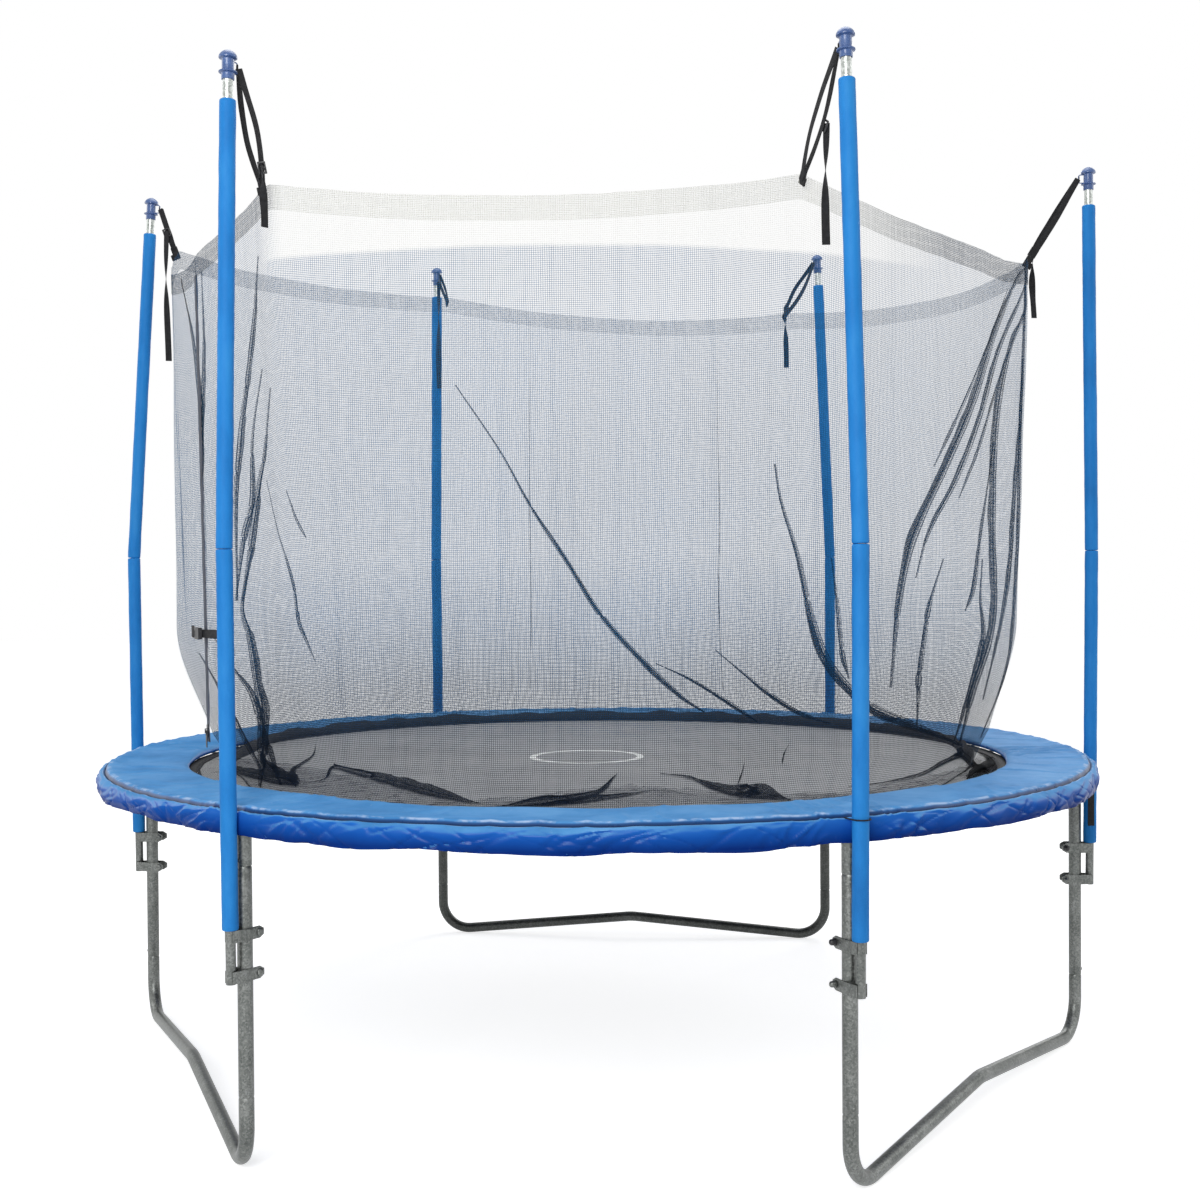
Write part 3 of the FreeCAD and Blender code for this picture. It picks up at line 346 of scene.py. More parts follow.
class Nodes:
    """The node tree of a material or a world, with short calls for the nodes that it needs."""

    def __init__(self, owner, output):
        self.owner = owner
        owner.use_nodes = True
        self.tree = owner.node_tree
        self.tree.nodes.clear()
        self.output = self.tree.nodes.new("ShaderNode" + output)

    def feed(self, socket, value):
        """Gives an input its value: another node's output is linked, a number or colour is set."""
        if isinstance(value, bpy.types.NodeSocket):
            self.tree.links.new(value, socket)
        elif socket.type == "RGBA":
            socket.default_value = tuple(value) + (1.0,)
        else:
            socket.default_value = value

    def node(self, kind, inputs=None, **settings):
        made = self.tree.nodes.new("ShaderNode" + kind)
        for key, value in settings.items():
            setattr(made, key, value)
        for key, value in (inputs or {}).items():
            self.feed(made.inputs[key], value)
        return made

    def place(self, kind="Object"):
        return self.node("TexCoord").outputs[kind]

    def axes(self, vector):
        return self.node("SeparateXYZ", {"Vector": vector}).outputs

    def stretched(self, vector, scale):
        return self.node("Mapping", {"Vector": vector, "Scale": scale}).outputs[0]

    def length(self, vector):
        return self.node("VectorMath", {"Vector": vector}, operation="LENGTH").outputs["Value"]

    def noise(self, scale, detail=3.0, rough=0.5, where=None, stretch=None):
        where = where or self.place()
        if stretch:
            where = self.stretched(where, stretch)
        inputs = {"Vector": where, "Scale": scale, "Detail": detail, "Roughness": rough}
        return self.node("TexNoise", inputs).outputs["Fac"]

    def math(self, operation, *parts):
        return self.node("Math", dict(enumerate(parts)), operation=operation).outputs[0]

    def plus(self, a, b):
        return self.math("ADD", a, b)

    def minus(self, a, b):
        return self.math("SUBTRACT", a, b)

    def times(self, a, b):
        return self.math("MULTIPLY", a, b)

    def largest(self, first, *others):
        for other in others:
            first = self.math("MAXIMUM", first, other)
        return first

    def speckled(self, fine, cloud):
        """A tone of about a third fine grain and two thirds cloud."""
        return self.plus(self.times(fine, 0.35), self.times(cloud, 0.65))

    def span(self, source, start, end, low=0.0, high=1.0):
        """Maps start to end onto low to high, and holds at both ends."""
        inputs = {"Value": source, "From Min": start, "From Max": end, "To Min": low, "To Max": high}
        return self.node("MapRange", inputs).outputs[0]

    def ramp(self, source, *stops):
        """Colours or plain tones along a source from 0 to 1."""
        made = self.node("ValToRGB", {"Fac": source})
        bar = made.color_ramp
        while len(bar.elements) < len(stops):
            bar.elements.new(0.5)
        for element, (place, colour) in zip(bar.elements, stops):
            element.position = place
            element.color = (tuple(colour) if hasattr(colour, "__len__") else (colour,) * 3) + (1.0,)
        return made.outputs["Color"]

    def blend(self, share, a, b, kind="MIX"):
        inputs = {"Fac": share, "Color1": a, "Color2": b}
        return self.node("MixRGB", inputs, blend_type=kind).outputs[0]

    def bump(self, height, strength, distance, under=None):
        inputs = {"Height": height, "Strength": strength, "Distance": distance}
        if under:
            inputs["Normal"] = under
        return self.node("Bump", inputs).outputs[0]

    def seen(self):
        """1 for the rays that show the background: the camera's, glossy ones and those through glass."""
        rays = self.node("LightPath").outputs
        return self.largest(*(rays["Is " + kind + " Ray"] for kind in ("Camera", "Glossy", "Transmission")))

    def finish(self, shader):
        """Puts a shader on the output, and returns the material or world."""
        self.feed(self.output.inputs["Surface"], shader.outputs[0])
        return self.owner

    def principled(self, colour, roughness, normal=None, **others):
        """The principled shader; others name its further inputs."""
        inputs = {"Base Color": colour, "Roughness": roughness}
        if normal:
            inputs["Normal"] = normal
        inputs.update({key.replace("_", " "): value for key, value in others.items()})
        return self.node("BsdfPrincipled", inputs)


def material(name):
    return Nodes(bpy.data.materials.new(name), "OutputMaterial")


ZINC = ((0.115, 0.125, 0.118), (0.19, 0.20, 0.19), (0.32, 0.33, 0.32))


def galvanised_steel(name, tint):
    """Zinc's small crystals with streaks and stains; tint scales its colour, so that a tint well below 1
    paints shade into it and one well above 1 paints light.
    """
    f = material(name)
    cells = f.node("TexVoronoi", {"Vector": f.place(), "Scale": 240.0}).outputs["Color"]
    grain = f.node("SeparateColor", {"Color": cells}).outputs[0]
    tone = f.speckled(grain, f.noise(9.0, 4.0, 0.6))
    dull, grey, bright = ([part * tint for part in colour] for colour in ZINC)
    colour = f.ramp(tone, (0.25, dull), (0.5, grey), (0.75, bright))
    streak = f.noise(60.0, 5.0, 0.7, stretch=(1.0, 1.0, 0.12))
    stains = f.ramp(streak, (0.30, 0.72), (0.52, 1.0))
    colour = f.blend(0.8, colour, stains, "MULTIPLY")
    roughness = f.ramp(tone, (0.3, 0.32), (0.7, 0.50))
    normal = f.bump(f.noise(700.0, 2.0), 0.12, 0.0004)
    return f.finish(f.principled(colour, roughness, normal, Metallic=0.85))


def blue_foam():
    """A sleeve's pored skin."""
    f = material("blue_foam")
    pores = f.noise(900.0, 3.0, 0.65)
    tone = f.speckled(pores, f.noise(14.0, 4.0, 0.6, stretch=(1.0, 1.0, 0.35)))
    dark, blue, bright = (0.010, 0.165, 0.50), (0.016, 0.235, 0.66), (0.040, 0.31, 0.74)
    colour = f.ramp(tone, (0.30, dark), (0.5, blue), (0.72, bright))
    normal = f.bump(pores, 0.35, 0.0006, f.bump(f.noise(55.0, 3.0), 0.25, 0.002))
    return f.finish(f.principled(colour, 0.62, normal, Specular_IOR_Level=0.25))


def blue_plastic():
    """The caps' scratched plastic."""
    f = material("blue_plastic")
    colour = f.ramp(f.noise(60.0, 3.0), (0.3, (0.035, 0.085, 0.26)), (0.7, (0.065, 0.135, 0.34)))
    wear_and_highlight = f.noise(420.0, 4.0, 0.7)
    colour = f.blend(f.ramp(wear_and_highlight, (0.52, 0.0), (0.68, 0.7)), colour, (0.24, 0.33, 0.50))
    roughness = f.ramp(wear_and_highlight, (0.3, 0.24), (0.7, 0.42))
    return f.finish(f.principled(colour, roughness, f.bump(wear_and_highlight, 0.15, 0.0003), Coat_Weight=0.25))


def pad_vinyl():
    """Coated cloth, deep blue, with painted light: paler blues on the faces that look up, painted shade down
    the side towards its bottom, painted highlights on both rolls of the seam and a painted shadow along it.
    """
    f = material("pad_vinyl")
    place = f.place()
    upward = f.axes(f.node("NewGeometry").outputs["Normal"])["Z"]
    cloud = f.noise(5.0, 5.0, 0.62)
    # the side darkens towards its bottom, where it curls under: painted shade
    painted_shade_depth = f.span(f.axes(place)["Z"], PAD_UNDER + 0.014, PAD_UNDER - 0.042)
    painted_shade_depth = f.plus(painted_shade_depth, f.times(f.minus(cloud, 0.5), 0.30))
    bright, blue, dark = (0.022, 0.165, 0.60), (0.008, 0.088, 0.42), (0.0022, 0.026, 0.19)
    side = f.ramp(painted_shade_depth, (0.0, bright), (0.45, blue), (1.0, dark))
    # the top's pale blues, blended in on faces that look up: painted light, the sky's reflection on the top
    deep_top_blue, middle_blue, pale_blue = (0.052, 0.23, 0.53), (0.085, 0.31, 0.66), (0.150, 0.40, 0.75)
    top = f.ramp(cloud, (0.30, deep_top_blue), (0.5, middle_blue), (0.72, pale_blue))
    colour = f.blend(f.ramp(upward, (0.35, 0.0), (0.85, 1.0)), side, top)
    # whitish patches on the faces that look up: partly dust, partly painted sheen
    scuff_and_sheen = f.ramp(f.noise(30.0, 8.0, 0.78), (0.60, 0.0), (0.74, 1.0))
    dust_and_sheen = f.times(scuff_and_sheen, f.ramp(upward, (0.45, 0.04), (0.95, 0.50)))
    colour = f.blend(dust_and_sheen, colour, (0.42, 0.56, 0.80))
    from_axis = f.length(f.stretched(place, (1.0, 1.0, 0.0)))
    off_seam = f.times(f.math("ABSOLUTE", f.minus(from_axis, SEAM_RADIUS)), 25.0)
    inside = f.plus(f.times(f.minus(SEAM_RADIUS, from_axis), 25.0), 0.5)
    # two bands beside the seam, on the top's roll and on the side's, take whitish lumps: painted highlights
    # of the glossy rolls
    rolls = f.ramp(
        inside, (0.22, 0.0), (0.34, 0.8), (0.42, 0.0), (0.60, 0.0), (0.68, 1.0), (0.90, 0.6), (1.0, 0.0),
    )
    wear_and_highlight = f.times(f.ramp(f.noise(26.0, 4.0, 0.6), (0.46, 0.0), (0.62, 0.75)), rolls)
    colour = f.blend(wear_and_highlight, colour, (0.55, 0.68, 0.88))
    # dark blue along the seam: painted shadow under the top's overhanging roll
    colour = f.blend(f.ramp(off_seam, (0.04, 0.0), (0.17, 1.0)), (0.004, 0.022, 0.085), colour)
    weave = f.node("TexVoronoi", {"Vector": place, "Scale": 520.0}).outputs["Distance"]
    inputs = {"Vector": place, "Scale": 8.0, "Detail": 2.0, "Roughness": 0.45}
    creases = f.node("TexNoise", inputs, noise_type="RIDGED_MULTIFRACTAL").outputs["Fac"]
    glossy = f.ramp(f.noise(18.0, 5.0, 0.6), (0.3, 0.24), (0.7, 0.40))
    roughness = f.largest(glossy, f.ramp(upward, (0.60, 0.20), (0.92, 0.62)))
    shine = f.ramp(upward, (0.0, 0.03), (0.20, 0.08), (0.50, 0.24), (0.85, 0.10))
    normal = f.bump(weave, 0.05, 0.0005, f.bump(creases, 0.10, 0.005))
    return f.finish(f.principled(colour, roughness, normal, Specular_IOR_Level=shine))


def grained(name, grain, stops, roughness, bump, **others):
    """A material whose colour and bump follow one fine grain, and its roughness where it has stops."""
    f = material(name)
    tone = f.noise(*grain)
    if not isinstance(roughness, float):
        roughness = f.ramp(tone, *roughness)
    return f.finish(f.principled(f.ramp(tone, *stops), roughness, f.bump(tone, *bump), **others))


def woven(name, kind, cell, share, cloud, stops, roughness, bump, **others):
    """Cloth with a plain weave's ribs, a cell across and along, that colour it by their share."""
    f = material(name)
    place = f.axes(f.place(kind))
    waves = [f.math("SINE", f.times(place[axis], 2 * math.pi / size)) for axis, size in zip("XY", cell)]
    ribs = f.times(*waves)
    tone = f.plus(f.times(ribs, share), f.noise(*cloud))
    return f.finish(f.principled(f.ramp(tone, *stops), roughness, f.bump(ribs, *bump), **others))


def net_mesh(name, cell, share, high_tone, low_tone, pale_cut=0.6, thread=0.85, veil=0.06):
    """Netting on the cloth coordinates: share is a thread's part of a cell, veil what fine fibres cover
    between. It is denser at the front; high up at the front it has painted light, pale threads thinned by
    pale_cut."""
    f = material(name)
    cloth = f.place("UV")
    spot, weave, over = f.axes(f.place()), f.axes(cloth), f.span
    x, y, z = (spot[axis] for axis in "XYZ")
    back = over(y, -0.25, 0.55)
    thin = f.plus(over(z, 1.75, 2.35, 0.66, 0.46), over(z, 1.55, 1.02, 0.0, 1.05))
    dense = f.times(over(z, 2.1, 1.05, 1.00, 1.22), f.minus(1.0, back))
    dense = f.plus(dense, f.times(thin, back))
    # a pale band high up at the front, where light falls on the net: painted light
    pale = f.times(over(y, -0.85, -1.12), over(x, -0.72, -0.64))
    pale = f.times(pale, over(z, 2.243, 2.255))
    uncut = f.minus(1.0, f.times(pale, pale_cut))
    pleats = over(f.noise(1.0, 3.0, 0.6, cloth, (30.0, 0.8, 1.0)), 0.50, 0.76, 0.97, 1.30)
    width = f.times(f.times(f.times(dense, pleats), share / 2), uncut)
    wander = f.times(f.noise(5.0, 2.0, where=cloth), cell * 2)
    threads = []
    for axis in ("X", "Y"):
        shifted = f.plus(weave[axis], wander)
        wave = f.math("ABSOLUTE", f.minus(f.math("FRACT", f.times(shifted, 1 / cell)), 0.5))
        threads.append(f.math("LESS_THAN", f.minus(0.5, wave), width))
    cover = f.times(f.largest(*threads), thread - veil)
    cover = f.plus(cover, f.times(f.times(dense, veil), uncut))
    colour = f.blend(over(z, 1.02, 1.35), low_tone, high_tone)
    colour = f.blend(1.0, colour, f.ramp(f.noise(2.4, 4.0, 0.6), (0.3, 0.75), (0.7, 1.0)), "MULTIPLY")
    colour = f.blend(pale, colour, (0.62, 0.62, 0.56))
    shader = f.principled(colour, 0.85, Specular_IOR_Level=0.05)
    clear = f.node("BsdfTransparent")
    return f.finish(f.node("MixShader", {0: cover, 1: clear.outputs[0], 2: shader.outputs[0]}))


STEEL = galvanised_steel("galvanised_steel", 0.84)
# a dark copy of the steel: painted shade for the back legs, which stand in the shade under the pad
PAINTED_SHADE_STEEL = galvanised_steel("galvanised_steel_painted_shade", 0.36)
# a bright copy of the steel: painted light for the upper poles, whose bare tops are lit bright
PAINTED_LIGHT_STEEL = galvanised_steel("galvanised_steel_painted_light", 2.4)
FOAM = blue_foam()
CAP_BLUE = blue_plastic()
VINYL = pad_vinyl()
WEBBING = woven(
    "black_webbing", "UV", (0.0022, 0.0030), 0.22, (90.0, 4.0),
    ((0.25, (0.006, 0.006, 0.007)), (0.75, (0.026, 0.026, 0.028))),
    0.72, (0.5, 0.0006), Specular_IOR_Level=0.25,
)
TAPE = woven(
    "zip_tape", "UV", (0.0016, 0.0024), 0.2, (40.0, 4.0),
    ((0.25, (0.012, 0.018, 0.035)), (0.75, (0.045, 0.062, 0.110))), 0.7, (0.4, 0.0004),
)
# mid grey, lighter than the black weave itself: painted reflection of the sky at a grazing view
MAT = woven(
    "mat_fabric", "Object", (0.0042, 0.0042), 0.10, (3.5, 6.0, 0.65),
    ((0.25, (0.19, 0.195, 0.20)), (0.5, (0.27, 0.275, 0.28)), (0.8, (0.34, 0.345, 0.35))),
    0.55, (0.4, 0.0006), Sheen_Weight=0.2,
)
BLACK = grained(
    "black_plastic", (500.0, 3.0), ((0.3, (0.010, 0.010, 0.011)), (0.7, (0.026, 0.026, 0.028))),
    ((0.3, 0.32), (0.7, 0.5)), (0.2, 0.0003),
)
RING_PRINT = grained(
    "printed_ring", (260.0, 5.0, 0.75), ((0.22, (0.62, 0.63, 0.62)), (0.36, (0.93, 0.94, 0.92))),
    0.6, (0.2, 0.0003),
)
ZIP_METAL = grained(
    "zip_metal", (900.0, 4.0), ((0.3, (0.05, 0.052, 0.055)), (0.7, (0.11, 0.112, 0.118))),
    ((0.3, 0.3), (0.7, 0.48)), (0.1, 0.0002), Metallic=0.8,
)
NET = net_mesh("net_mesh", 0.0052, 0.172, (0.022, 0.118, 0.262), (0.020, 0.034, 0.058))
NET_HEM = net_mesh("net_hem_mesh", 0.0042, 0.24, (0.060, 0.075, 0.095), (0.02, 0.02, 0.02), 0.25)
# near-black threads for the folds: painted shade inside the folds, added to the real thicker cover of the
# doubled net
NET_FOLD_PAINTED_SHADE = net_mesh("net_fold_mesh_painted_shade", 0.0040, 0.36, (0.010, 0.014, 0.024), (0.006, 0.007, 0.010))
NET_LAID = net_mesh("net_laid_mesh", 0.0044, 0.40, (0.012, 0.012, 0.014), (0.008, 0.009, 0.011))
NET_SLACK = net_mesh("net_slack_mesh", 0.0052, 0.085, (0.02, 0.02, 0.02), (0.022, 0.026, 0.034), veil=0.03)


# Frame: rails, leg sockets and legs

RAIL_STEPS = 40
RAIL_GAP = 0.0015
RAIL_SET_IN = 0.0012
WELD_STEPS = 72
WELD_SIZE = 0.0021
# a tube's narrowed end has this much room in the tube that it enters
SLIP = 0.00035
LEG_NARROW = LEG_RADIUS - WALL - SLIP
# the narrowed end from below: height from the seam, radius
LEG_NECK = ((-0.006, LEG_RADIUS), (-0.002, LEG_NARROW + 0.0008), (0.0, LEG_NARROW), (SWAGE, LEG_NARROW))


def rail_piece(name, angle):
    """One sixth of the rail, bent to a true arc, with its leg socket and weld."""
    piece = Piece()
    gap = math.degrees(RAIL_GAP / FRAME_RADIUS)
    start = 60.0 * math.floor((angle - 30.0) / 60.0) + 30.0 + gap / 2
    angles = [start + (60.0 - gap) * k / RAIL_STEPS for k in range(RAIL_STEPS + 1)]
    path = [polar(a, FRAME_RADIUS - RAIL_SET_IN, RAIL_HEIGHT) for a in angles]
    piece.tube(path, [RAIL_RADIUS] * len(path), UP, 32, [RAIL_RADIUS - WALL] * len(path))
    post = polar(angle, FRAME_RADIUS, 0)
    stub = [post + UP * h for h in (SOCKET_MOUTH, SOCKET_MOUTH + 0.001, RAIL_HEIGHT - 0.012)]
    radii = [LEG_RADIUS - 0.0004, LEG_RADIUS, LEG_RADIUS]
    piece.tube(stub, radii, along(angle), 32, [LEG_RADIUS - WALL] * 3)
    weld = []
    for k in range(WELD_STEPS + 1):
        a = 2 * math.pi * k / WELD_STEPS
        x, y = LEG_RADIUS * math.cos(a), LEG_RADIUS * math.sin(a)
        drop = math.sqrt(max(0.0, RAIL_RADIUS ** 2 - x * x))
        weld.append(post + outward(angle) * x + along(angle) * y + UP * (RAIL_HEIGHT - drop))
    piece.tube(weld, [WELD_SIZE + rough(p, 0.004, 0.0007) for p in weld], UP, 10)
    obj = piece.build("rail_" + name + "_tube", STEEL, "galvanised_steel")
    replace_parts(obj, "rail_" + name)


def leg_extension_piece(name, angle):
    """A straight leg tube whose narrowed top enters the rail's socket."""
    post = polar(angle, FRAME_RADIUS, 0)
    heights = [BASE_JOINT, BASE_JOINT + 0.0008, 0.3, 0.5]
    heights += [SOCKET_MOUTH - SEAM_GAP + rise for rise, radius in LEG_NECK]
    radii = [LEG_RADIUS - 0.0005] + [LEG_RADIUS] * 3 + [radius for rise, radius in LEG_NECK]
    bores = [LEG_RADIUS - WALL] * 5 + [LEG_NARROW - WALL] * 3
    piece = Piece()
    piece.tube([post + UP * h for h in heights], radii, along(angle), 40, bores)
    # the back legs get the dark copy of the steel: painted shade
    steel = PAINTED_SHADE_STEEL if name.startswith("back") else STEEL
    obj = piece.build("leg_extension_" + name + "_tube", steel, "galvanised_steel")
    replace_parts(obj, "leg_extension_" + name)


def leg_base_piece(name, angle):
    """One bent tube: two feet on the ground, a raised middle, and narrowed ends up into the legs."""
    first = polar(angle - LEG_SPREAD, FRAME_RADIUS, 0)
    last = polar(angle + LEG_SPREAD, FRAME_RADIUS, 0)
    middle = (first + last) * 0.5 + UP * HUMP_RISE
    top = UP * (BASE_JOINT - SEAM_GAP)
    curve = bend(first + top, first, middle, FOOT_RADIUS, 18)
    curve += bend(first, middle, last, HUMP_RADIUS, 14)
    curve += bend(middle, last, last + top, FOOT_RADIUS, 18)
    lowest = min(p.z for p in curve) - LEG_RADIUS
    curve = [p - UP * lowest for p in curve]
    path = [first + top + UP * rise for rise, radius in LEG_NECK[::-1]] + curve
    path += [last + top + UP * rise for rise, radius in LEG_NECK]
    neck = [radius for rise, radius in LEG_NECK]
    radii = neck[::-1] + [LEG_RADIUS] * len(curve) + neck
    piece = Piece()
    piece.tube(path, radii, outward(angle), 40, [r - WALL for r in radii])
    # the back set gets the dark copy of the steel: painted shade
    steel = PAINTED_SHADE_STEEL if name == "back" else STEEL
    obj = piece.build("leg_base_" + name + "_tube", steel, "galvanised_steel")
    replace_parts(obj, "leg_base_" + name)


SCREW_HEIGHTS = (BASE_JOINT + 0.016, SOCKET_MOUTH + 0.014)
SCREW_HEAD = ((0, 0.0052), (0.0006, 0.0054), (0.0016, 0.0044), (0.0024, 0.0026), (0.0027, 0.0006))


def leg_screws():
    """A domed self-tapping screw through each tube joint, on the outer side."""
    piece = Piece()
    for angle in POSTS.values():
        for height in SCREW_HEIGHTS:
            base = polar(angle, FRAME_RADIUS + LEG_RADIUS - 0.0003, height)
            piece.lathe(base, outward(angle), UP, SCREW_HEAD, 20)
    piece.build("leg_screws", STEEL, "galvanised_steel")


# Enclosure poles, foam and caps

POLE_BORE = POLE_RADIUS - WALL
POLE_NARROW = POLE_BORE - SLIP
FOAM_STEP = 0.012
FOAM_SIDES = 40
FOAM_BORE = POLE_RADIUS + 0.0004
# the lower and the upper sleeve both end this far from the pole's joint
SLEEVE_GAP = 0.0004
# a sleeve's rolled end: share of its wall's thickness, height from its end
FOAM_ROLL = ((0.35714, 0.0002), (0.6, 0.0), (0.82857, 0.0009), (0.95, 0.0024))


def pole_point(name, height):
    """The middle of a pole at a height: straight to the joint, then leaning in."""
    (r0, z0), (r1, z1) = POLE_FOOT, POLE_JOINT
    if height > z1:
        r0, z0, r1, z1 = r1, z1, r1 - POLE_DRAWN_IN[name], POLE_TOP
    return polar(POSTS[name], r0 + (r1 - r0) * (height - z0) / (z1 - z0), height)


def pole_pieces(name):
    """The lower tube, and the upper tube whose narrowed foot enters it."""
    foot, joint = POLE_FOOT[1], POLE_JOINT[1]
    lower = [(foot, POLE_RADIUS - 0.0004, POLE_BORE)]
    lower += [(height, POLE_RADIUS, POLE_BORE) for height in (foot + 0.0006, 0.6, joint)]
    upper = [(height, POLE_NARROW, POLE_NARROW - WALL) for height in (joint - SWAGE, joint + SEAM_GAP)]
    upper += [(height, POLE_RADIUS, POLE_BORE) for height in (joint + 0.007, POLE_TOP)]
    # the upper tubes get the bright copy of the steel: painted light
    for prefix, steel, spots in (("pole_lower_", STEEL, lower), ("pole_upper_", PAINTED_LIGHT_STEEL, upper)):
        heights, radii, bores = zip(*spots)
        piece = Piece()
        piece.tube([pole_point(name, height) for height in heights], radii, along(POSTS[name]), 32, bores)
        obj = piece.build(prefix + name + "_tube", steel, "galvanised_steel")
        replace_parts(obj, prefix + name)


def foam_piece(name, part, low, high):
    """A foam sleeve: soft outside with shallow dents, its ends rolled in to the pole."""
    count = max(2, int((high - low) / FOAM_STEP))
    middle = [pole_point(name, low + (high - low) * k / count) for k in range(count + 1)]
    frames = carried_frames(middle, along(POSTS[name]))
    seed = POST_ORDER.index(name) * 3.1 + (7.0 if part == "upper" else 0.0)

    def ring(k, radius, uneven, shift=0.0):
        way, a, b = frames[k]
        row = []
        for spot in circle(middle[k], a, b, radius, FOAM_SIDES):
            swell = rough(spot, 0.06, 0.0007, seed) + rough(spot, 0.018, 0.00035, seed + 5)
            row.append(spot + (spot - middle[k]).normalized() * (swell * uneven) + way * shift)
        return row

    rows = [ring(0, mix(FOAM_BORE, FOAM_RADIUS, share), 0.3, lift) for share, lift in FOAM_ROLL]
    for k in range(count + 1):
        lift = 0.005 if k == 0 else (-0.005 if k == count else 0.0)
        rows.append(ring(k, FOAM_RADIUS, 1.0, lift))
    rows += [ring(count, mix(FOAM_BORE, FOAM_RADIUS, share), 0.3, -lift) for share, lift in FOAM_ROLL[::-1]]
    rows += [ring(k, FOAM_BORE, 0.0) for k in (count, 0)]
    piece = Piece()
    piece.grid(rows, True, True)
    obj = piece.build("foam_sleeve_" + part + "_" + name, FOAM, "blue_foam", sharp=60.0)
    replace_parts(obj, "foam_" + part + "_" + name)


CAP_BORE_DEPTH = 0.032
CAP_NECK_START = 0.021
# from the bore's floor out and up: height, radius
CAP_PROFILE = (
    (0.0320, 0.0002), (0.0320, 0.0129), (0.0005, 0.0129), (0.0, 0.0134), (0.0, 0.0150), (0.0007, 0.0155),
    (0.0125, 0.0155), (0.0145, 0.0161), (0.0158, 0.0190), (0.0166, 0.0217), (0.0180, 0.0225),
    (0.0196, 0.0221), (0.0206, 0.0200), (0.0214, 0.0166), (0.0226, 0.0149), (0.0250, 0.0146),
    (0.0470, 0.0146), (0.0488, 0.0149), (0.0497, 0.0166), (0.0505, 0.0200), (0.0516, 0.0221),
    (0.0534, 0.0225), (0.0562, 0.0221), (0.0600, 0.0203), (0.0640, 0.0172), (0.0676, 0.0128),
    (0.0702, 0.0077), (0.0716, 0.0033), (0.0720, 0.0002),
)
EYELET_HEIGHT = 0.0284
EYELET_OUT = 0.0316
EYELET_WIRE = 0.0016
EYELET_BEND = 0.006
EYELET_ROOT = 0.0135


def cap_frame(name):
    """The middle of a cap's mouth, its axis, and the way square to it towards the centre."""
    top = pole_point(name, POLE_TOP)
    axis = (top - pole_point(name, POLE_JOINT[1])).normalized()
    inward = -outward(POSTS[name])
    inward = (inward - axis * inward.dot(axis)).normalized()
    return top - axis * CAP_BORE_DEPTH, axis, inward


def pole_caps():
    """Moulded caps: collar, lower flange, neck, mushroom top, and an eyelet on the inner side."""
    piece = Piece()
    rise = EYELET_HEIGHT - 2 * EYELET_WIRE
    for name, angle in POSTS.items():
        base, axis, inward = cap_frame(name)
        side = along(angle)
        piece.lathe(base, axis, side, CAP_PROFILE)
        low = base + axis * (CAP_NECK_START + EYELET_WIRE)
        root = low + inward * EYELET_ROOT
        corner_low = low + inward * (EYELET_OUT - EYELET_WIRE)
        corner_high = corner_low + axis * rise
        path = [root] + bend(root, corner_low, corner_high, EYELET_BEND, 6)
        path += bend(corner_low, corner_high, root + axis * rise, EYELET_BEND, 6) + [root + axis * rise]
        piece.tube(path, [EYELET_WIRE] * len(path), side, 12)
    obj = piece.build("pole_cap_mouldings", CAP_BLUE, "blue_plastic")
    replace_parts(obj, "pole_caps")


# Clamps: the brackets stay as they are, their edges eased; nuts and bolt heads are turned

BOLT_CENTRE = FRAME_RADIUS - LEG_RADIUS - 0.011
BOLT_RADIUS = 0.0039
CLAMP_FACE = 0.0195 + 0.0025
NUT_DOME = ((0, 0.0088), (0.0009, 0.0094), (0.0020, 0.0094), (0.0026, 0.0078), (0.0100, 0.0074),
            (0.0128, 0.0062), (0.0144, 0.0038), (0.0150, 0.0008))
BOLT_BUTTON = ((0, 0.0098), (0.0010, 0.0100), (0.0026, 0.0088), (0.0042, 0.0058), (0.0050, 0.0012))
# the clamp of each post whose nut is bare metal, counted from below
SILVER_NUTS = {"left": 0, "front_right": 0, "right": 0, "front_left": 1, "back_left": 0, "back_right": 0}


def clamp_fasteners():
    """A bolt with a button head through each clamp, and a domed nut, black or bare."""
    heads, silver, black = Piece(), Piece(), Piece()
    for name, angle in POSTS.items():
        y = along(angle)
        for k, height in enumerate(CLAMP_HEIGHTS):
            centre = polar(angle, BOLT_CENTRE, height)
            near, far = centre - y * CLAMP_FACE, centre + y * CLAMP_FACE
            (silver if k == SILVER_NUTS[name] else black).lathe(near, -y, UP, NUT_DOME, 24)
            heads.lathe(far, y, UP, BOLT_BUTTON, 24)
            heads.tube([far, near - y * 0.008], [BOLT_RADIUS] * 2, UP, 16)
    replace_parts(heads.build("clamp_carriage_bolts", STEEL, "galvanised_steel"), "clamp_bolts")
    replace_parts(black.build("clamp_cap_nuts_black", BLACK, "black_plastic"), "cap_nuts")
    silver.build("clamp_cap_nuts_silver", STEEL, "galvanised_steel")


def eased(name, finish, width):
    """Gives a carried-over piece its material and eases its edges."""
    obj = frame["nodes"][name]
    weld = obj.modifiers.new("joined", "WELD")
    weld.merge_threshold = 0.00002
    ease = obj.modifiers.new("eased", "BEVEL")
    ease.width = width
    ease.segments = 2
    ease.limit_method = "ANGLE"
    ease.angle_limit = math.radians(35)
    obj.data.materials.clear()
    obj.data.materials.append(finish)


# Bed: mat, printed ring, hem, rings and springs

MAT_RINGS = 46
MAT_SIDES = 288


def spring_angles():
    return [-90.0 + 360.0 * (k + 0.5) / SPRINGS for k in range(SPRINGS)]


def edge_radius(angle):
    """The mat's edge: corners at the springs, drawn in a little between them."""
    step = 360.0 / SPRINGS
    from_spring = abs((angle + 90.0) % step - step / 2)
    return MAT_RADIUS * math.cos(math.radians(step / 2)) / math.cos(math.radians(from_spring - step / 2))


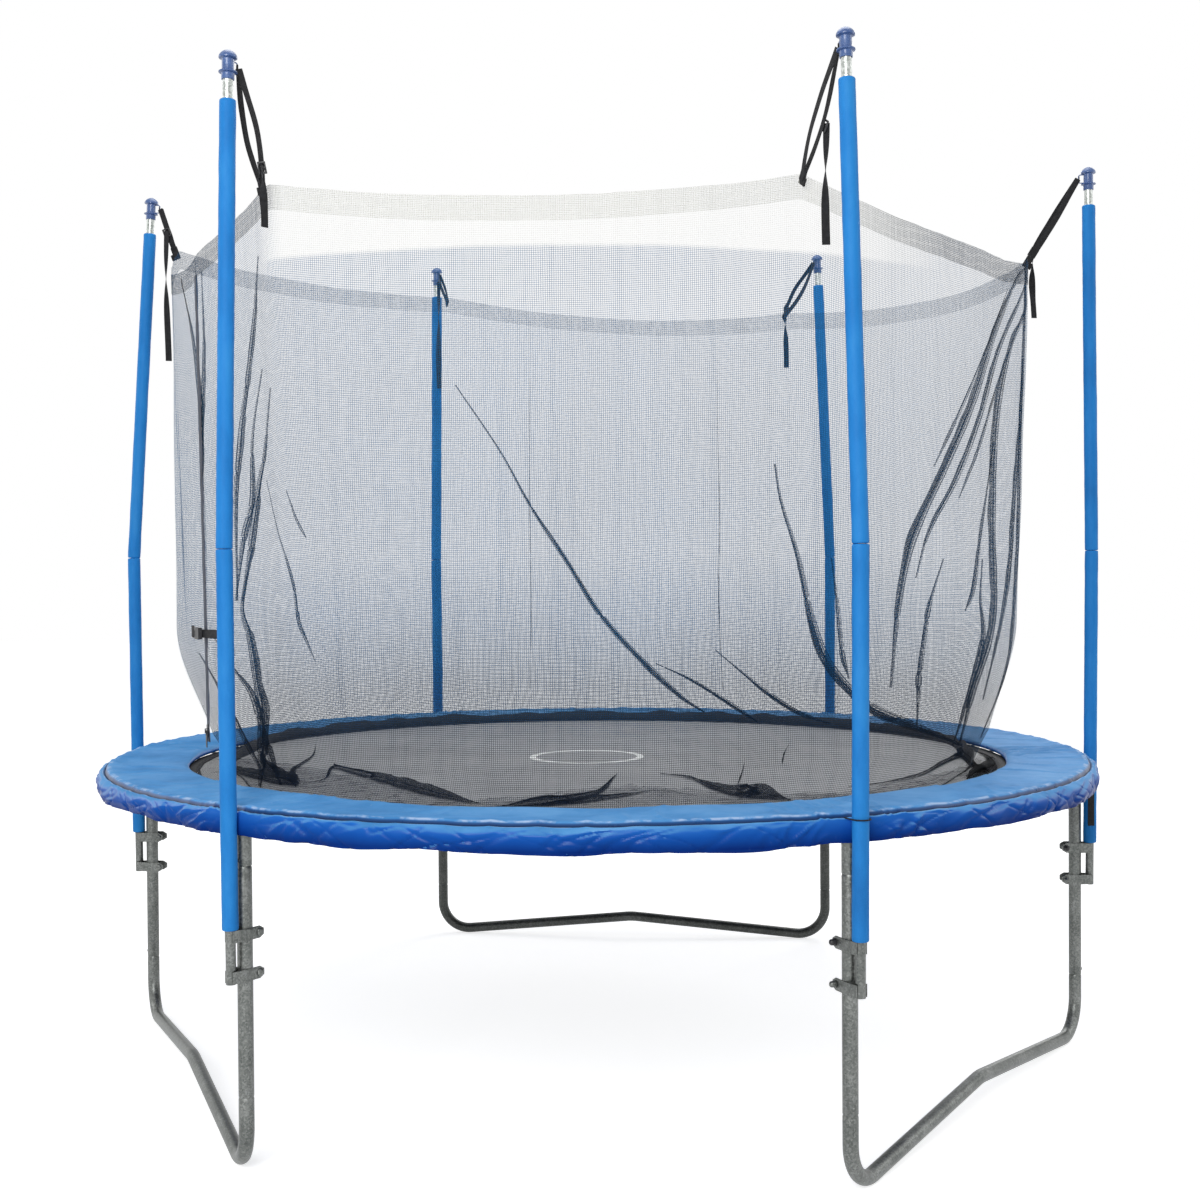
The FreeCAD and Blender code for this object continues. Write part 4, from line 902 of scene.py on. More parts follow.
def jumping_mat():
    """The mat: woven cloth stretched by the springs, with a few faint pulls."""

    def point(ring, k, face):
        angle = 360.0 * k / MAT_SIDES
        radius = max(0.001, (ring / MAT_RINGS) ** 0.9 * (edge_radius(angle) - 0.0004))
        spot = polar(angle, radius, MAT_TOP)
        calm = smooth((MAT_RADIUS - radius) / 0.12)
        dip = (rough(spot, 0.35, 0.0011, 3.0) + rough(spot, 0.09, 0.00035, 8.0)) * calm
        spot.z = face + min(0.0, dip - 0.0006)
        return spot

    piece = Piece()
    rows = [[point(r, k, MAT_TOP) for k in range(MAT_SIDES)] for r in range(MAT_RINGS + 1)]
    under = MAT_TOP - MAT_THICKNESS
    rows += [[point(r, k, under) for k in range(MAT_SIDES)] for r in range(MAT_RINGS, -1, -1)]
    piece.grid(rows, True)
    obj = piece.build("jumping_mat_cloth", MAT, "mat_fabric", "bed")
    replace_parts(obj, "jumping_mat")
    return obj


RING_CENTRE = Vector((-0.036, 0.0, MAT_TOP + 0.0004))
RING_OUTER = 0.184
RING_LINE = 0.021


def mat_print():
    """The ring printed in the middle of the mat, a film just above the weave."""
    piece = Piece()
    radii = np.linspace(RING_OUTER - RING_LINE, RING_OUTER, 4)
    rows = [circle(RING_CENTRE, Vector((1, 0, 0)), Vector((0, 1, 0)), float(r), 160) for r in radii]
    under = [[p - UP * 0.0012 for p in row] for row in rows[::-1]]
    piece.grid(rows + under, True, True)
    return piece.build("mat_printed_ring", RING_PRINT, "mat_fabric", "bed")


# the hem's upper and lower band: their under and upper face
HEM_BANDS = ((MAT_TOP, MAT_TOP + HEM_THICKNESS), (0.8684, 0.8704))
HEM_STITCHES = 900
STITCH_TURN = 0.24


def mat_hem():
    """Webbing sewn round the edge, above and below the mat, with two rows of stitches."""
    piece = Piece()
    angles = [360.0 * k / MAT_SIDES for k in range(MAT_SIDES)]
    for low, high in HEM_BANDS:
        section = (
            (HEM_WIDTH, low), (HEM_WIDTH, high - 0.0004), (HEM_WIDTH - 0.001, high),
            (HEM_WIDTH / 2, high - 0.0003), (0.001, high), (0.0, high - 0.0004), (0.0, low),
        )
        rows = [[polar(a, edge_radius(a) - place, height) for a in angles] for place, height in section]
        piece.grid(rows, True, True, lambda i, k: (i * 0.0075, k * 0.028))
    obj = piece.build("mat_hem_webbing", WEBBING, "black_webbing", "bed")
    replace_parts(obj, "mat_hem")
    stitches = Piece()
    height = MAT_TOP + HEM_THICKNESS - 0.0001
    for set_in in (0.006, 0.039):
        for k in range(HEM_STITCHES):
            angle = 360.0 * k / HEM_STITCHES
            radius = edge_radius(angle) - set_in
            a, b = polar(angle, radius, height), polar(angle + STITCH_TURN, radius, height)
            stitches.tube([a, (a + b) / 2 + UP * 0.0005, b], [0.0003, 0.0005, 0.0003], UP, 5)
    return [obj, stitches.build("mat_hem_stitches", TAPE, "black_webbing", "bed")]


RING_HEIGHT = 0.8722
RING_POINT = 1.326
RING_SET_IN = 0.008
RING_HALF = 0.023
RING_BENDS = (0.004, 0.0045, 0.004)
WIRE_RADIUS = 0.0018


def mat_rings():
    """V-rings sewn to the mat's edge, their points outward."""
    piece = Piece()
    for angle in spring_angles():
        side = polar(angle, MAT_RADIUS - RING_SET_IN, RING_HEIGHT)
        half = along(angle) * RING_HALF
        corners = [side - half, polar(angle, RING_POINT, RING_HEIGHT), side + half]
        path = []
        for k, radius in enumerate(RING_BENDS):
            path += bend(corners[k - 1], corners[k], corners[(k + 1) % 3], radius, 5)
        path += [path[0].copy(), path[1].copy()]
        piece.tube(path, [WIRE_RADIUS] * len(path), UP, 8)
    obj = piece.build("mat_ring_wires", STEEL, "galvanised_steel", "bed")
    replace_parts(obj, "mat_rings")


SPRING_WIRE = 0.0016
SPRING_AXIS = RAIL_HEIGHT + RAIL_RADIUS - 0.0104
COIL_RADIUS = 0.0088
COIL_START = 1.353
COIL_LENGTH = 0.104
TURN_STEPS = 10
COIL_STEPS = 24 * TURN_STEPS
# the two hooks: radius, height from the V-ring and from the spring's axis
RING_HOOK = ((1.3135, -0.0050), (1.3105, 0.001), (1.3135, 0.0052), (1.325, 0.0052))
RAIL_HOOK = ((1.470, 0.004), (1.486, 0.0088), (1.4938, 0.0068), (1.4945, 0.0005))


def spring_pieces():
    """Closed coil springs, each hooked between the frame and the bed."""
    for number, angle in enumerate(spring_angles()):
        side = along(angle)
        path = [polar(angle, radius, RING_HEIGHT + rise) for radius, rise in RING_HOOK]
        path.append(polar(angle, 1.340, SPRING_AXIS + 0.001))
        for k in range(COIL_STEPS + 1):
            turn = 2 * math.pi * k / TURN_STEPS
            share = k / COIL_STEPS
            reach = COIL_RADIUS * min(1.0, 0.35 + share * 14, 0.35 + (1 - share) * 14)
            spot = polar(angle, COIL_START + COIL_LENGTH * share, SPRING_AXIS)
            path.append(spot + side * (reach * math.sin(turn)) + UP * (reach * math.cos(turn)))
        path += [polar(angle, radius, SPRING_AXIS + rise) for radius, rise in RAIL_HOOK]
        piece = Piece()
        piece.tube(path, [SPRING_WIRE] * len(path), side, 6)
        obj = piece.build("bed_spring_%02d" % number, STEEL, "galvanised_steel", None)
        polar(angle, 1.494, 0.872)
        polar(angle, 1.314, 0.872)
        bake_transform(obj)
        if number == 0:
            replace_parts(obj, "springs")


# Spring pad

PAD_STEPS = 1600
# the inner edge, up to the top: distance from the edge, height
PAD_EDGE = (
    (0.006, 0.0002), (0.0012, 0.003), (0.0, 0.008), (0.0022, 0.0135), (0.008, 0.0180), (0.018, 0.0205),
)
# the stitched seam between the top's roll and the side's: distance from the seam, height
SEAM = ((-0.024, 0.0240), (-0.014, 0.0246), (-0.007, 0.0226), (-0.003, 0.0180), (-0.001, 0.0106),
        (0.0018, 0.0102), (0.0050, 0.0128), (0.0090, 0.0132), (0.0130, 0.0116))
TOP_ROWS = 16
SKIRT_ROWS = 16


def from_post(angle):
    """Degrees to the nearest post."""
    return min(apart(angle, post) for post in POSTS.values())


def skirt_flare(angle):
    """How far the skirt stands out at an angle: none at a pole, waved between poles, less at the left."""
    ease = smooth(from_post(angle) / 7.5 - 1.0)
    left = smooth((math.cos(math.radians(angle - 180.0)) - 0.80) / 0.15)
    return 0.019 * ease * (0.75 + 0.25 * math.cos(math.radians(angle * 12))) * (1 - 0.7 * left)


def pad_section(angle):
    """The pad's outline at an angle, in three runs: inner edge and top, seam, skirt. Also how free
    the side is: little at a pole, which holds it."""
    flare = skirt_flare(angle)
    free = 0.08 + 0.92 * smooth((from_post(angle) - 1.2) / 4.0)
    inner = PAD_INNER + 0.003 + rough(polar(angle, 1.27, 0), 0.30, 0.004, 2.0)
    outline = [(inner + r, z) for r, z in PAD_EDGE]
    for k in range(1, TOP_ROWS + 1):
        share = k / TOP_ROWS
        rise = 0.0205 + 0.0030 * smooth(share * 1.5)
        outline.append((mix(inner + 0.018, SEAM_RADIUS - 0.033, share), rise))
    outline += [(SEAM_RADIUS + r, z) for r, z in SEAM]
    first = outline[-1][0]
    for k in range(1, SKIRT_ROWS + 1):
        share = k / SKIRT_ROWS
        reach = 1 - (1 - min(1.0, share / 0.62)) ** 2.4
        tucked = 0.005 * smooth((share - 0.70) / 0.30) * free
        radius = mix(first, SKIRT_RADIUS + 0.0024 + flare, reach) - tucked
        outline.append((radius, 0.0116 - 0.0556 * share ** 1.25))
    return [(r, PAD_UNDER + z) for r, z in outline], free


def crease(x, y, seed, sharp=2.6):
    """From 0 to 1: narrow ridges along the zero lines of a smooth unevenness."""
    level = abs(noise.noise(Vector((x + seed, y - seed * 0.6, seed)))) * sharp
    return max(0.0, 1.0 - level) ** 2


def top_shift(angle, share):
    """Soft puffs of the top, a few long slanting creases, and gathers beside the poles."""
    warp = noise.noise(Vector((angle * 0.10, share * 1.2, 5.0))) * 0.8
    calm = smooth(share / 0.20) * smooth((1 - share) / 0.08)
    puff = noise.noise(Vector((angle * 0.11, share * 1.1, 1.0))) * 0.0080
    ridges = crease(angle * 0.17 + share * 0.9 + warp, share * 0.6, 6.0, 5.0) * 0.0045
    beside = 1 - smooth((from_post(angle) - 2.5) / 6.0)
    gathers = crease(angle * 1.1 + share * 0.6, share * 0.5, 15.0, 3.0)
    gathers = gathers * 0.0045 * beside * smooth(share / 0.3)
    lumps = crease(angle * 0.24, share * 0.4, 19.0, 3.0) * 0.0034 * smooth((share - 0.78) / 0.2)
    front = smooth((-math.sin(math.radians(angle)) - 0.3) / 0.4) * (1 - smooth(share / 0.55)) * 0.0060
    return UP * ((puff + ridges - 0.0022) * calm + gathers + lumps + front - 0.0016)


def skirt_shift(angle, share):
    """The side's soft puffs and its few sharp slanting creases."""
    warp = noise.noise(Vector((angle * 0.09, share * 0.8, 7.0))) * 0.7
    puff = noise.noise(Vector((angle * 0.20, share * 0.5, 12.0))) * 0.0070
    folds = crease(angle * 0.19 + share * 0.9 + warp, share * 0.5, 17.0, 9.0) * 0.0062
    folds += crease(angle * 0.27 - share * 1.1, share * 0.5 + warp, 23.0, 10.0) * 0.0050
    lit = crease(angle * 0.16 + share * 0.5, share * 0.8, 27.0, 3.0) * 0.0034
    beside = smooth((from_post(angle) - 1.5) / 2.0) * (1 - smooth((from_post(angle) - 6.0) / 5.0))
    bunch = crease(angle * 0.55 + share * 1.2, share * 0.7, 31.0, 3.2) * 0.0085 * beside
    return puff + lit + bunch - folds


def spring_pad():
    piece = Piece()
    rows_out = []
    first_seam = len(PAD_EDGE) + TOP_ROWS
    first_skirt = first_seam + len(SEAM)
    for k in range(PAD_STEPS):
        angle = 360.0 * k / PAD_STEPS
        outline, free = pad_section(angle)
        flare = skirt_flare(angle)
        out = outward(angle)
        hem = rough((angle * 0.14, 0, 0), 1.0, 0.0075, 31.0) + rough((angle * 0.45, 0, 0), 1.0, 0.0018, 33.0)
        hem += 0.004 * math.sin(math.radians(angle * 2 + 50))
        row = []
        for j, (radius, height) in enumerate(outline):
            spot = polar(angle, radius, height)
            if j >= first_skirt:
                share = (j - first_skirt + 1) / SKIRT_ROWS
                reach = skirt_shift(angle, share) * smooth(share / 0.25) * free
                spot += out * min(0.012, max(-0.0012 - flare * 0.6, reach))
                spot.z += hem * smooth((share - 0.45) / 0.55)
                spot += top_shift(angle, 1.0) * (1 - smooth(share / 0.3))
            elif j > 1:
                share = min(1.0, (j - 2) / (first_seam - 2))
                near = abs(j - first_seam - 4)
                spot += top_shift(angle, share) * (mix(0.35, 1.0, near / 4) if near < 4 else 1.0)
            row.append(spot)
        row.append(row[-1] - out * 0.0026 + UP * 0.0006)
        row.append(polar(angle, SKIRT_RADIUS + flare * 0.55, PAD_UNDER - 0.010))
        row.append(polar(angle, FRAME_RADIUS + RAIL_RADIUS * 0.7, PAD_UNDER))
        row.append(polar(angle, 1.40, PAD_UNDER))
        rows_out.append(row)
    width = 2 * math.pi * 1.5 / PAD_STEPS
    piece.grid(rows_out, True, True, lambda i, k: (i * width, k * 0.012))
    obj = piece.build("spring_pad_cover", VINYL, "pad_vinyl", sharp=75.0)
    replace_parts(obj, "spring_pad")


# Net

# where the slack net swings in over the mat: direction, reach, half width in degrees
NET_SWINGS = ((196.0, 0.105, 40.0), (-8.0, 0.080, 38.0))
# the gentle folds between posts: how many, how deep, and the height where they are deepest
WAVES = 3
WAVE_DEPTH = 0.011
WAVE_HEIGHT = 1.65
NET_COLUMNS = 480
NET_ROWS = 64
# the cloth's run between two columns and between two rows
AROUND = 8.35 / NET_COLUMNS
DROP = 1.52 / NET_ROWS
HEM_DEPTH = 0.060
FOOT_BAND = 0.032


def net_edge(angle):
    """The net's top edge at an angle: its radius and height, and how far on from the last post."""
    name = min(POST_ORDER, key=lambda post: (angle - POSTS[post]) % 360.0)
    after = POST_ORDER[(POST_ORDER.index(name) + 1) % len(POST_ORDER)]
    share = (angle - POSTS[name]) % 360.0 / ((POSTS[after] - POSTS[name]) % 360.0)
    ends = zip(NET_CORNERS[name], NET_CORNERS[after], NET_MIDDLES[name])
    radius, height = (mix(a, b, share) + (m - (a + b) / 2) * 4 * share * (1 - share) for a, b, m in ends)
    return radius, height, share


def drawn_in(angle, height):
    """How far the slack net swings in over the mat, low at the left and the right."""
    swings = (reach * smooth((width - apart(angle, middle)) / 26.0) for middle, reach, width in NET_SWINGS)
    return sum(swings) * smooth((1.32 - height) / 0.42)


def net_wall(angle, height):
    """A point of the hanging net by its angle and height."""
    radius, top, share = net_edge(angle)
    wave = WAVE_DEPTH * math.sin(2 * math.pi * WAVES * share)
    knee, knee_height = NET_KNEE
    if height >= knee_height:
        reach = mix(knee, radius, (height - knee_height) / (top - knee_height))
        if height < WAVE_HEIGHT:
            reach += wave * mix(0.6, 1.0, (height - knee_height) / (WAVE_HEIGHT - knee_height))
        else:
            part = (height - WAVE_HEIGHT) / max(0.05, top - HEM_DEPTH - WAVE_HEIGHT)
            reach += wave * mix(1.0, 0.4, min(1.0, part))
    else:
        reach = mix(NET_FOOT[0], knee + wave * 0.6, (height - NET_FOOT[1]) / (knee_height - NET_FOOT[1]))
    loose = smooth((height - 0.9) / 0.3)
    reach += rough((angle * 0.10, height * 1.1, 0), 1.0, 0.012, 4.0) * loose * 0.7
    reach += rough((angle * 0.45, height * 3.0, 0), 1.0, 0.004, 14.0) * loose
    return polar(angle, reach - 0.0015 - drawn_in(angle, height), height)


def foot_stands(angle):
    """1 where the net's foot stands on the mat's edge, 0 where it lies slack at the front."""
    turn = (angle + 90.0) % 360.0
    return smooth((turn - 68.0) / 16.0) * smooth((292.0 - turn) / 16.0)


def net_sheet(name, finish, slot, rows, drop, place):
    """A sheet once round the net from the door; place gives its point for an angle and a row."""
    piece = Piece()
    angles = [DOOR_ANGLE + 360.0 * k / NET_COLUMNS for k in range(NET_COLUMNS + 1)]
    points = [[place(angle, row) for angle in angles] for row in rows]
    piece.grid(points, cloth=lambda i, k: (k * AROUND, i * drop))
    return piece.build(name, finish, slot, None, 0, True)


def net_pieces():
    """The net: one hung sheet from the door round to the door again, with a hem and a foot band."""

    def wall(angle, share):
        return net_wall(angle, mix(NET_FOOT[1] + 0.001, net_edge(angle)[1], share))

    def hem(angle, share):
        return net_wall(angle, net_edge(angle)[1] - HEM_DEPTH * share) + outward(angle) * 0.0012

    def foot(angle, share):
        ripple = 1 + 0.35 * rough((angle * 0.25, 0, 0), 1.0, 1.0, 61.0)
        height = NET_FOOT[1] + 0.0006 + FOOT_BAND * share * ripple * mix(0.12, 1.0, foot_stands(angle))
        belly = 0.0035 * math.sin(math.pi * share) + rough((angle * 0.6, share, 0), 1.0, 0.002, 63.0)
        return net_wall(angle, height) - outward(angle) * (0.003 + belly)

    shares = [i / NET_ROWS for i in range(NET_ROWS + 1)]
    hem_shares = (0.0, 0.25, 0.5, 0.75, 1.0)
    foot_shares = (0.0, 0.2, 0.45, 0.7, 0.9, 1.0)
    obj = net_sheet("safety_net_cloth", NET, "net_mesh", shares, DROP, wall)
    band = net_sheet("safety_net_hem", NET_HEM, "net_mesh", hem_shares, HEM_DEPTH / 4, hem)
    low_band = net_sheet("safety_net_foot_band", WEBBING, "black_webbing", foot_shares, FOOT_BAND / 5, foot)
    return obj, [band, low_band]


# A tuck's cross-section: across its width, and in from the cloth
TUCK = ((-1.0, 0.0), (0.1, 0.30), (0.55, 0.45), (0.62, 0.58), (0.50, 0.68),
        (-0.45, 0.72), (-0.60, 0.85), (-0.45, 1.0), (0.2, 0.70), (1.0, 0.0))


def tuck(piece, route, width, depth, facing, start=0.25, end=0.35, calm=0.0, opening=1.6):
    """A fold of the net along a route: narrow where it starts, opening to its full width.
    calm draws it in where it runs from the front of the mat towards the back."""
    path = curve_through(route, 10)
    places = distances(path)
    rows = []
    for k, point in enumerate(path):
        way = heading(path, k)
        face = facing(point)
        share = k / (len(path) - 1)
        spread = mix(start, 1.0, smooth(share * opening)) * mix(end, 1.0, smooth((1 - share) * 4))
        spread *= (1 + 0.25 * noise.noise(point * 14.0)) * (1 - calm * way.y * way.y)
        turn = 1 if noise.noise(Vector((share * 3, route[0].x * 9, 2.0))) > 0 else -1
        half = way.cross(face).normalized() * (turn * width / 2 * spread)
        rows.append([point + half * across + face * (out * depth * spread + 0.0015) for across, out in TUCK])
    piece.grid(rows, cloth=lambda i, k: (k * width * 0.45, places[i]))


# Routes of the folds in the hanging net, as (angle, height) from their thin end, with width and depth
WALL_FOLDS = (
    (0.014, 0.014, ((-98.8, 1.92), (-94.1, 1.76), (-91.0, 1.63), (-87.3, 1.50), (-83.7, 1.37),
                    (-79.4, 1.26), (-75.2, 1.17), (-72.5, 1.13))),
    (0.010, 0.012, ((-77.8, 1.25), (-74.1, 1.21), (-69.7, 1.15), (-66.2, 1.10))),
    (0.012, 0.012, ((-71.3, 1.28), (-67.9, 1.22), (-65.0, 1.17), (-61.4, 1.12), (-57.6, 1.09))),
    (0.026, 0.018, ((-64.1, 1.73), (-63.4, 1.64), (-61.4, 1.50), (-59.9, 1.35), (-58.2, 1.25),
                    (-54.9, 1.17), (-50.5, 1.11), (-42.0, 1.05), (-27.7, 0.98))),
    (0.012, 0.012, ((-57.5, 1.50), (-56.8, 1.40), (-56.0, 1.27), (-55.1, 1.20))),
    (0.024, 0.018, ((0.6, 2.435), (-9.0, 2.375), (-18.5, 2.30), (-25.8, 2.13), (-32.9, 1.93),
                    (-38.4, 1.76), (-43.2, 1.60), (-45.4, 1.50), (-47.4, 1.34), (-48.5, 1.17))),
    (0.012, 0.012, ((0.4, 2.41), (-8.0, 2.34), (-16.6, 2.25), (-24.2, 2.08), (-31.0, 1.89), (-36.6, 1.72),
                    (-41.6, 1.57), (-44.0, 1.45))),
    (0.007, 0.008, ((-22.0, 2.26), (-31.0, 2.04), (-37.5, 1.86), (-41.0, 1.74))),
    (0.007, 0.008, ((-14.0, 2.24), (-24.0, 2.00), (-31.5, 1.80), (-36.5, 1.66))),
    (0.012, 0.014, ((-39.3, 1.50), (-41.2, 1.39), (-43.0, 1.24), (-43.9, 1.07))),
    (0.018, 0.018, ((0.2, 2.42), (-7.0, 2.32), (-14.0, 2.22), (-20.3, 2.10), (-24.0, 1.89), (-23.6, 1.61),
                    (-23.1, 1.33), (-28.7, 1.11), (-32.3, 1.00))),
    (0.010, 0.010, ((0.2, 2.40), (-4.0, 2.26), (-8.5, 2.05), (-11.0, 1.80), (-12.5, 1.50), (-14.0, 1.20),
                    (-17.0, 0.98))),
    (0.010, 0.012, ((-25.1, 1.83), (-29.6, 1.58), (-32.2, 1.42), (-34.7, 1.36))),
    (0.012, 0.014, ((-29.1, 1.50), (-29.6, 1.39), (-27.4, 1.28), (-30.9, 1.12), (-35.6, 1.00))),
    (0.012, 0.012, ((-6.0, 2.40), (-10.0, 2.20), (-15.0, 1.95), (-17.0, 1.70), (-19.0, 1.40),
                    (-22.0, 1.10))),
    (0.012, 0.014, ((-122.0, 2.27), (-122.7, 2.21), (-123.8, 2.13), (-126.6, 1.95), (-128.4, 1.83),
                    (-130.0, 1.67), (-130.6, 1.40))),
    (0.014, 0.014, ((-122.9, 1.99), (-125.9, 1.82), (-126.9, 1.66), (-128.9, 1.57), (-130.9, 1.40))),
    (0.016, 0.014, ((-121.3, 1.94), (-123.5, 1.78), (-125.4, 1.70), (-127.3, 1.56), (-129.7, 1.40))),
    (0.007, 0.008, ((-123.4, 1.71), (-121.9, 1.58), (-120.4, 1.51), (-119.1, 1.43), (-118.7, 1.35),
                    (-117.6, 1.30), (-116.4, 1.25))),
    (0.006, 0.008, ((-119.3, 1.68), (-118.0, 1.61), (-116.7, 1.56))),
    (0.012, 0.012, ((-149.6, 2.32), (-144.7, 2.16), (-142.6, 2.02), (-141.2, 1.89), (-140.4, 1.70))),
    (0.012, 0.012, ((-136.8, 2.29), (-136.8, 2.11), (-139.0, 1.99), (-141.4, 1.85), (-141.0, 1.70))),
    (0.030, 0.022, ((-126.8, 1.54), (-129.1, 1.43), (-129.8, 1.37), (-128.5, 1.30), (-127.6, 1.19),
                    (-127.0, 1.11), (-127.5, 1.03), (-129.0, 0.95), (-131.0, 0.90))),
    (0.018, 0.016, ((-137.0, 1.30), (-132.1, 1.22), (-129.1, 1.16), (-127.5, 1.09), (-126.0, 1.00),
                    (-125.0, 0.92))),
    (0.012, 0.012, ((-146.0, 1.25), (-141.0, 1.18), (-135.0, 1.10), (-131.0, 1.02), (-128.0, 0.93))),
    (0.004, 0.004, ((107.3, 2.50), (107.5, 2.18), (107.7, 1.77), (107.7, 1.37), (108.0, 1.00))),
    (0.004, 0.004, ((73.0, 2.44), (73.2, 2.10), (73.0, 1.70), (73.4, 1.35), (73.0, 1.00))),
)
# Routes of the net's loose foot where it lies on the mat, as (x, y), with width and depth
FLOOR_FOLDS = (
    (0.085, 0.034, ((-0.763, -0.737), (-0.729, -0.606), (-0.776, -0.352), (-0.656, -0.489), (-0.481, -0.721),
                    (-0.324, -0.928), (-0.192, -1.065))),
    (0.110, 0.032, ((0.104, -0.448), (0.100, -0.560), (0.091, -0.809), (0.041, -0.962), (-0.038, -1.056),
                    (-0.14, -1.12))),
    (0.060, 0.018, ((0.242, -0.755), (0.20, -0.84), (0.144, -0.915), (0.041, -1.03), (-0.05, -1.08))),
    (0.130, 0.044, ((0.230, -0.441), (0.321, -0.526), (0.399, -0.732), (0.468, -0.844), (0.534, -0.896),
                    (0.60, -0.96))),
    (0.012, 0.006, ((0.474, -0.02), (0.470, -0.35), (0.458, -0.703))),
    (0.012, 0.006, ((0.63, 0.499), (0.60, 0.10), (0.588, -0.223))),
    (0.060, 0.030, ((0.76, -0.70), (0.867, -0.603), (0.981, -0.423), (1.09, -0.105), (1.159, 0.031),
                    (1.164, -0.25), (1.195, -0.32))),
    (0.120, 0.055, ((1.20, 0.27), (1.235, 0.05), (1.215, -0.20), (1.15, -0.40), (1.10, -0.52))),
    (0.080, 0.034, ((-1.25, 0.466), (-1.089, -0.079), (-0.94, -0.42), (-0.805, -0.675))),
    (0.090, 0.040, ((-1.22, 0.02), (-1.12, -0.322), (-0.978, -0.529), (-0.819, -0.698), (-0.763, -0.737))),
    (0.060, 0.030, ((-1.02, 0.30), (-0.93, -0.05), (-0.88, -0.42), (-0.80, -0.66), (-0.76, -0.79))),
)


def net_folds():
    """The folds of the hanging net, and the rolls of its foot on the mat."""
    wall, laid = Piece(), Piece()
    for width, depth, route in WALL_FOLDS:
        points = [net_wall(angle, height) for angle, height in route]
        tuck(wall, points, width, depth, lambda p: Vector((-p.x, -p.y, 0)).normalized())
    for width, depth, route in FLOOR_FOLDS:
        points = [Vector((x, y, MAT_TOP + 0.0012)) for x, y in route]
        tuck(laid, points, width, depth, lambda p: UP, start=0.05, end=0.08, calm=0.6, opening=1.25)
    return (
        wall.build("safety_net_folds", NET_FOLD_PAINTED_SHADE, "net_mesh", None, 0, True),
        laid.build("safety_net_loose_folds", NET_LAID, "net_mesh", "bed", 0, True),
    )


# Inner edge of the loose cloth on the mat: angle, radius
LOOSE_EDGE = (
    (-176.0, 1.20), (-165.0, 1.02), (-151.6, 0.90), (-138.0, 0.86), (-128.0, 0.84), (-116.1, 0.93),
    (-104.0, 1.05), (-96.0, 0.98), (-90.0, 0.86), (-84.5, 0.78), (-76.0, 0.74), (-68.0, 0.86),
    (-61.0, 1.02), (-50.0, 1.10), (-30.0, 1.08), (-15.0, 1.14), (0.0, 1.20),
)
LOOSE_COLUMNS = 260
LOOSE_ROWS = 18
LOOSE_OUTER = 1.256
# the cloth's run between two columns and between two rows
LOOSE_PITCH = (0.0145, 0.016)


def loose_cloth():
    """The net's slack foot, lying on the front of the mat from the wall in to its rolled edge."""
    piece = Piece()
    angles = np.linspace(LOOSE_EDGE[0][0], LOOSE_EDGE[-1][0], LOOSE_COLUMNS)
    edge = np.interp(angles, *zip(*LOOSE_EDGE))
    rows = []
    for i in range(LOOSE_ROWS + 1):
        row = []
        for angle, inner in zip(angles, edge):
            radius = mix(LOOSE_OUTER, float(inner), i / LOOSE_ROWS)
            lift = abs(noise.noise(Vector((angle * 0.16, i * 0.22, 3.0)))) * 0.012
            lift += crease(angle * 0.2, i * 0.35, 5.0) * 0.008
            rise = 0.0035 if radius > 1.24 else 0.0012
            row.append(polar(float(angle), radius, MAT_TOP + rise + lift * smooth(i / 4)))
        rows.append(row)
    piece.grid(rows, cloth=lambda i, k: (k * LOOSE_PITCH[0], i * LOOSE_PITCH[1]))
    return piece.build("safety_net_loose_foot", NET_SLACK, "net_mesh", "bed", 0, True)


# Straps, buckles and tails

STRAP_WIDTH = 0.020
STRAP_THICKNESS = 0.0016
STRAP_STEPS = 28
# the hanging runs are drawn a little narrower by their load
HUNG_WIDTH = STRAP_WIDTH * 0.9
# the loop round the eyelet's bar
LOOP_STEPS = 8
LOOP_RADIUS = 0.0026
# the buckle's three bars, along the strap
BUCKLE_BARS = (-0.0125, 0.0, 0.0125)
# Per post: the buckle's place as a share of the way down to the net, and how far the free end hangs
BUCKLES = {
    "left": (0.57, 0.430),
    "front_left": (0.86, 0.150),
    "front_right": (0.60, 0.290),
    "right": (0.90, 0.210),
    "back_right": (0.86, 0.235),
    "back_left": (0.35, 0.430),
}


def strap_lie(name):
    """How a strap lies: its top on the eyelet's bar, its end at the net, and its side and across ways."""
    base, axis, inward = cap_frame(name)
    radius, height = NET_CORNERS[name]
    top = base + axis * (CAP_NECK_START + EYELET_HEIGHT / 2) + inward * (EYELET_OUT - EYELET_WIRE)
    end = polar(POSTS[name], radius + 0.013, height - 0.004)
    side = along(POSTS[name])
    across = side.cross((end - top).normalized())
    return top, end, side, -across if across.dot(axis) < 0 else across


def strap_bow(top, end, share):
    """How far a strap's two runs stand apart at a share of its length, and that as a share."""
    bow = math.sin(math.pi * share ** 1.2)
    return min(0.014, (end - top).length * 0.05) * bow, bow


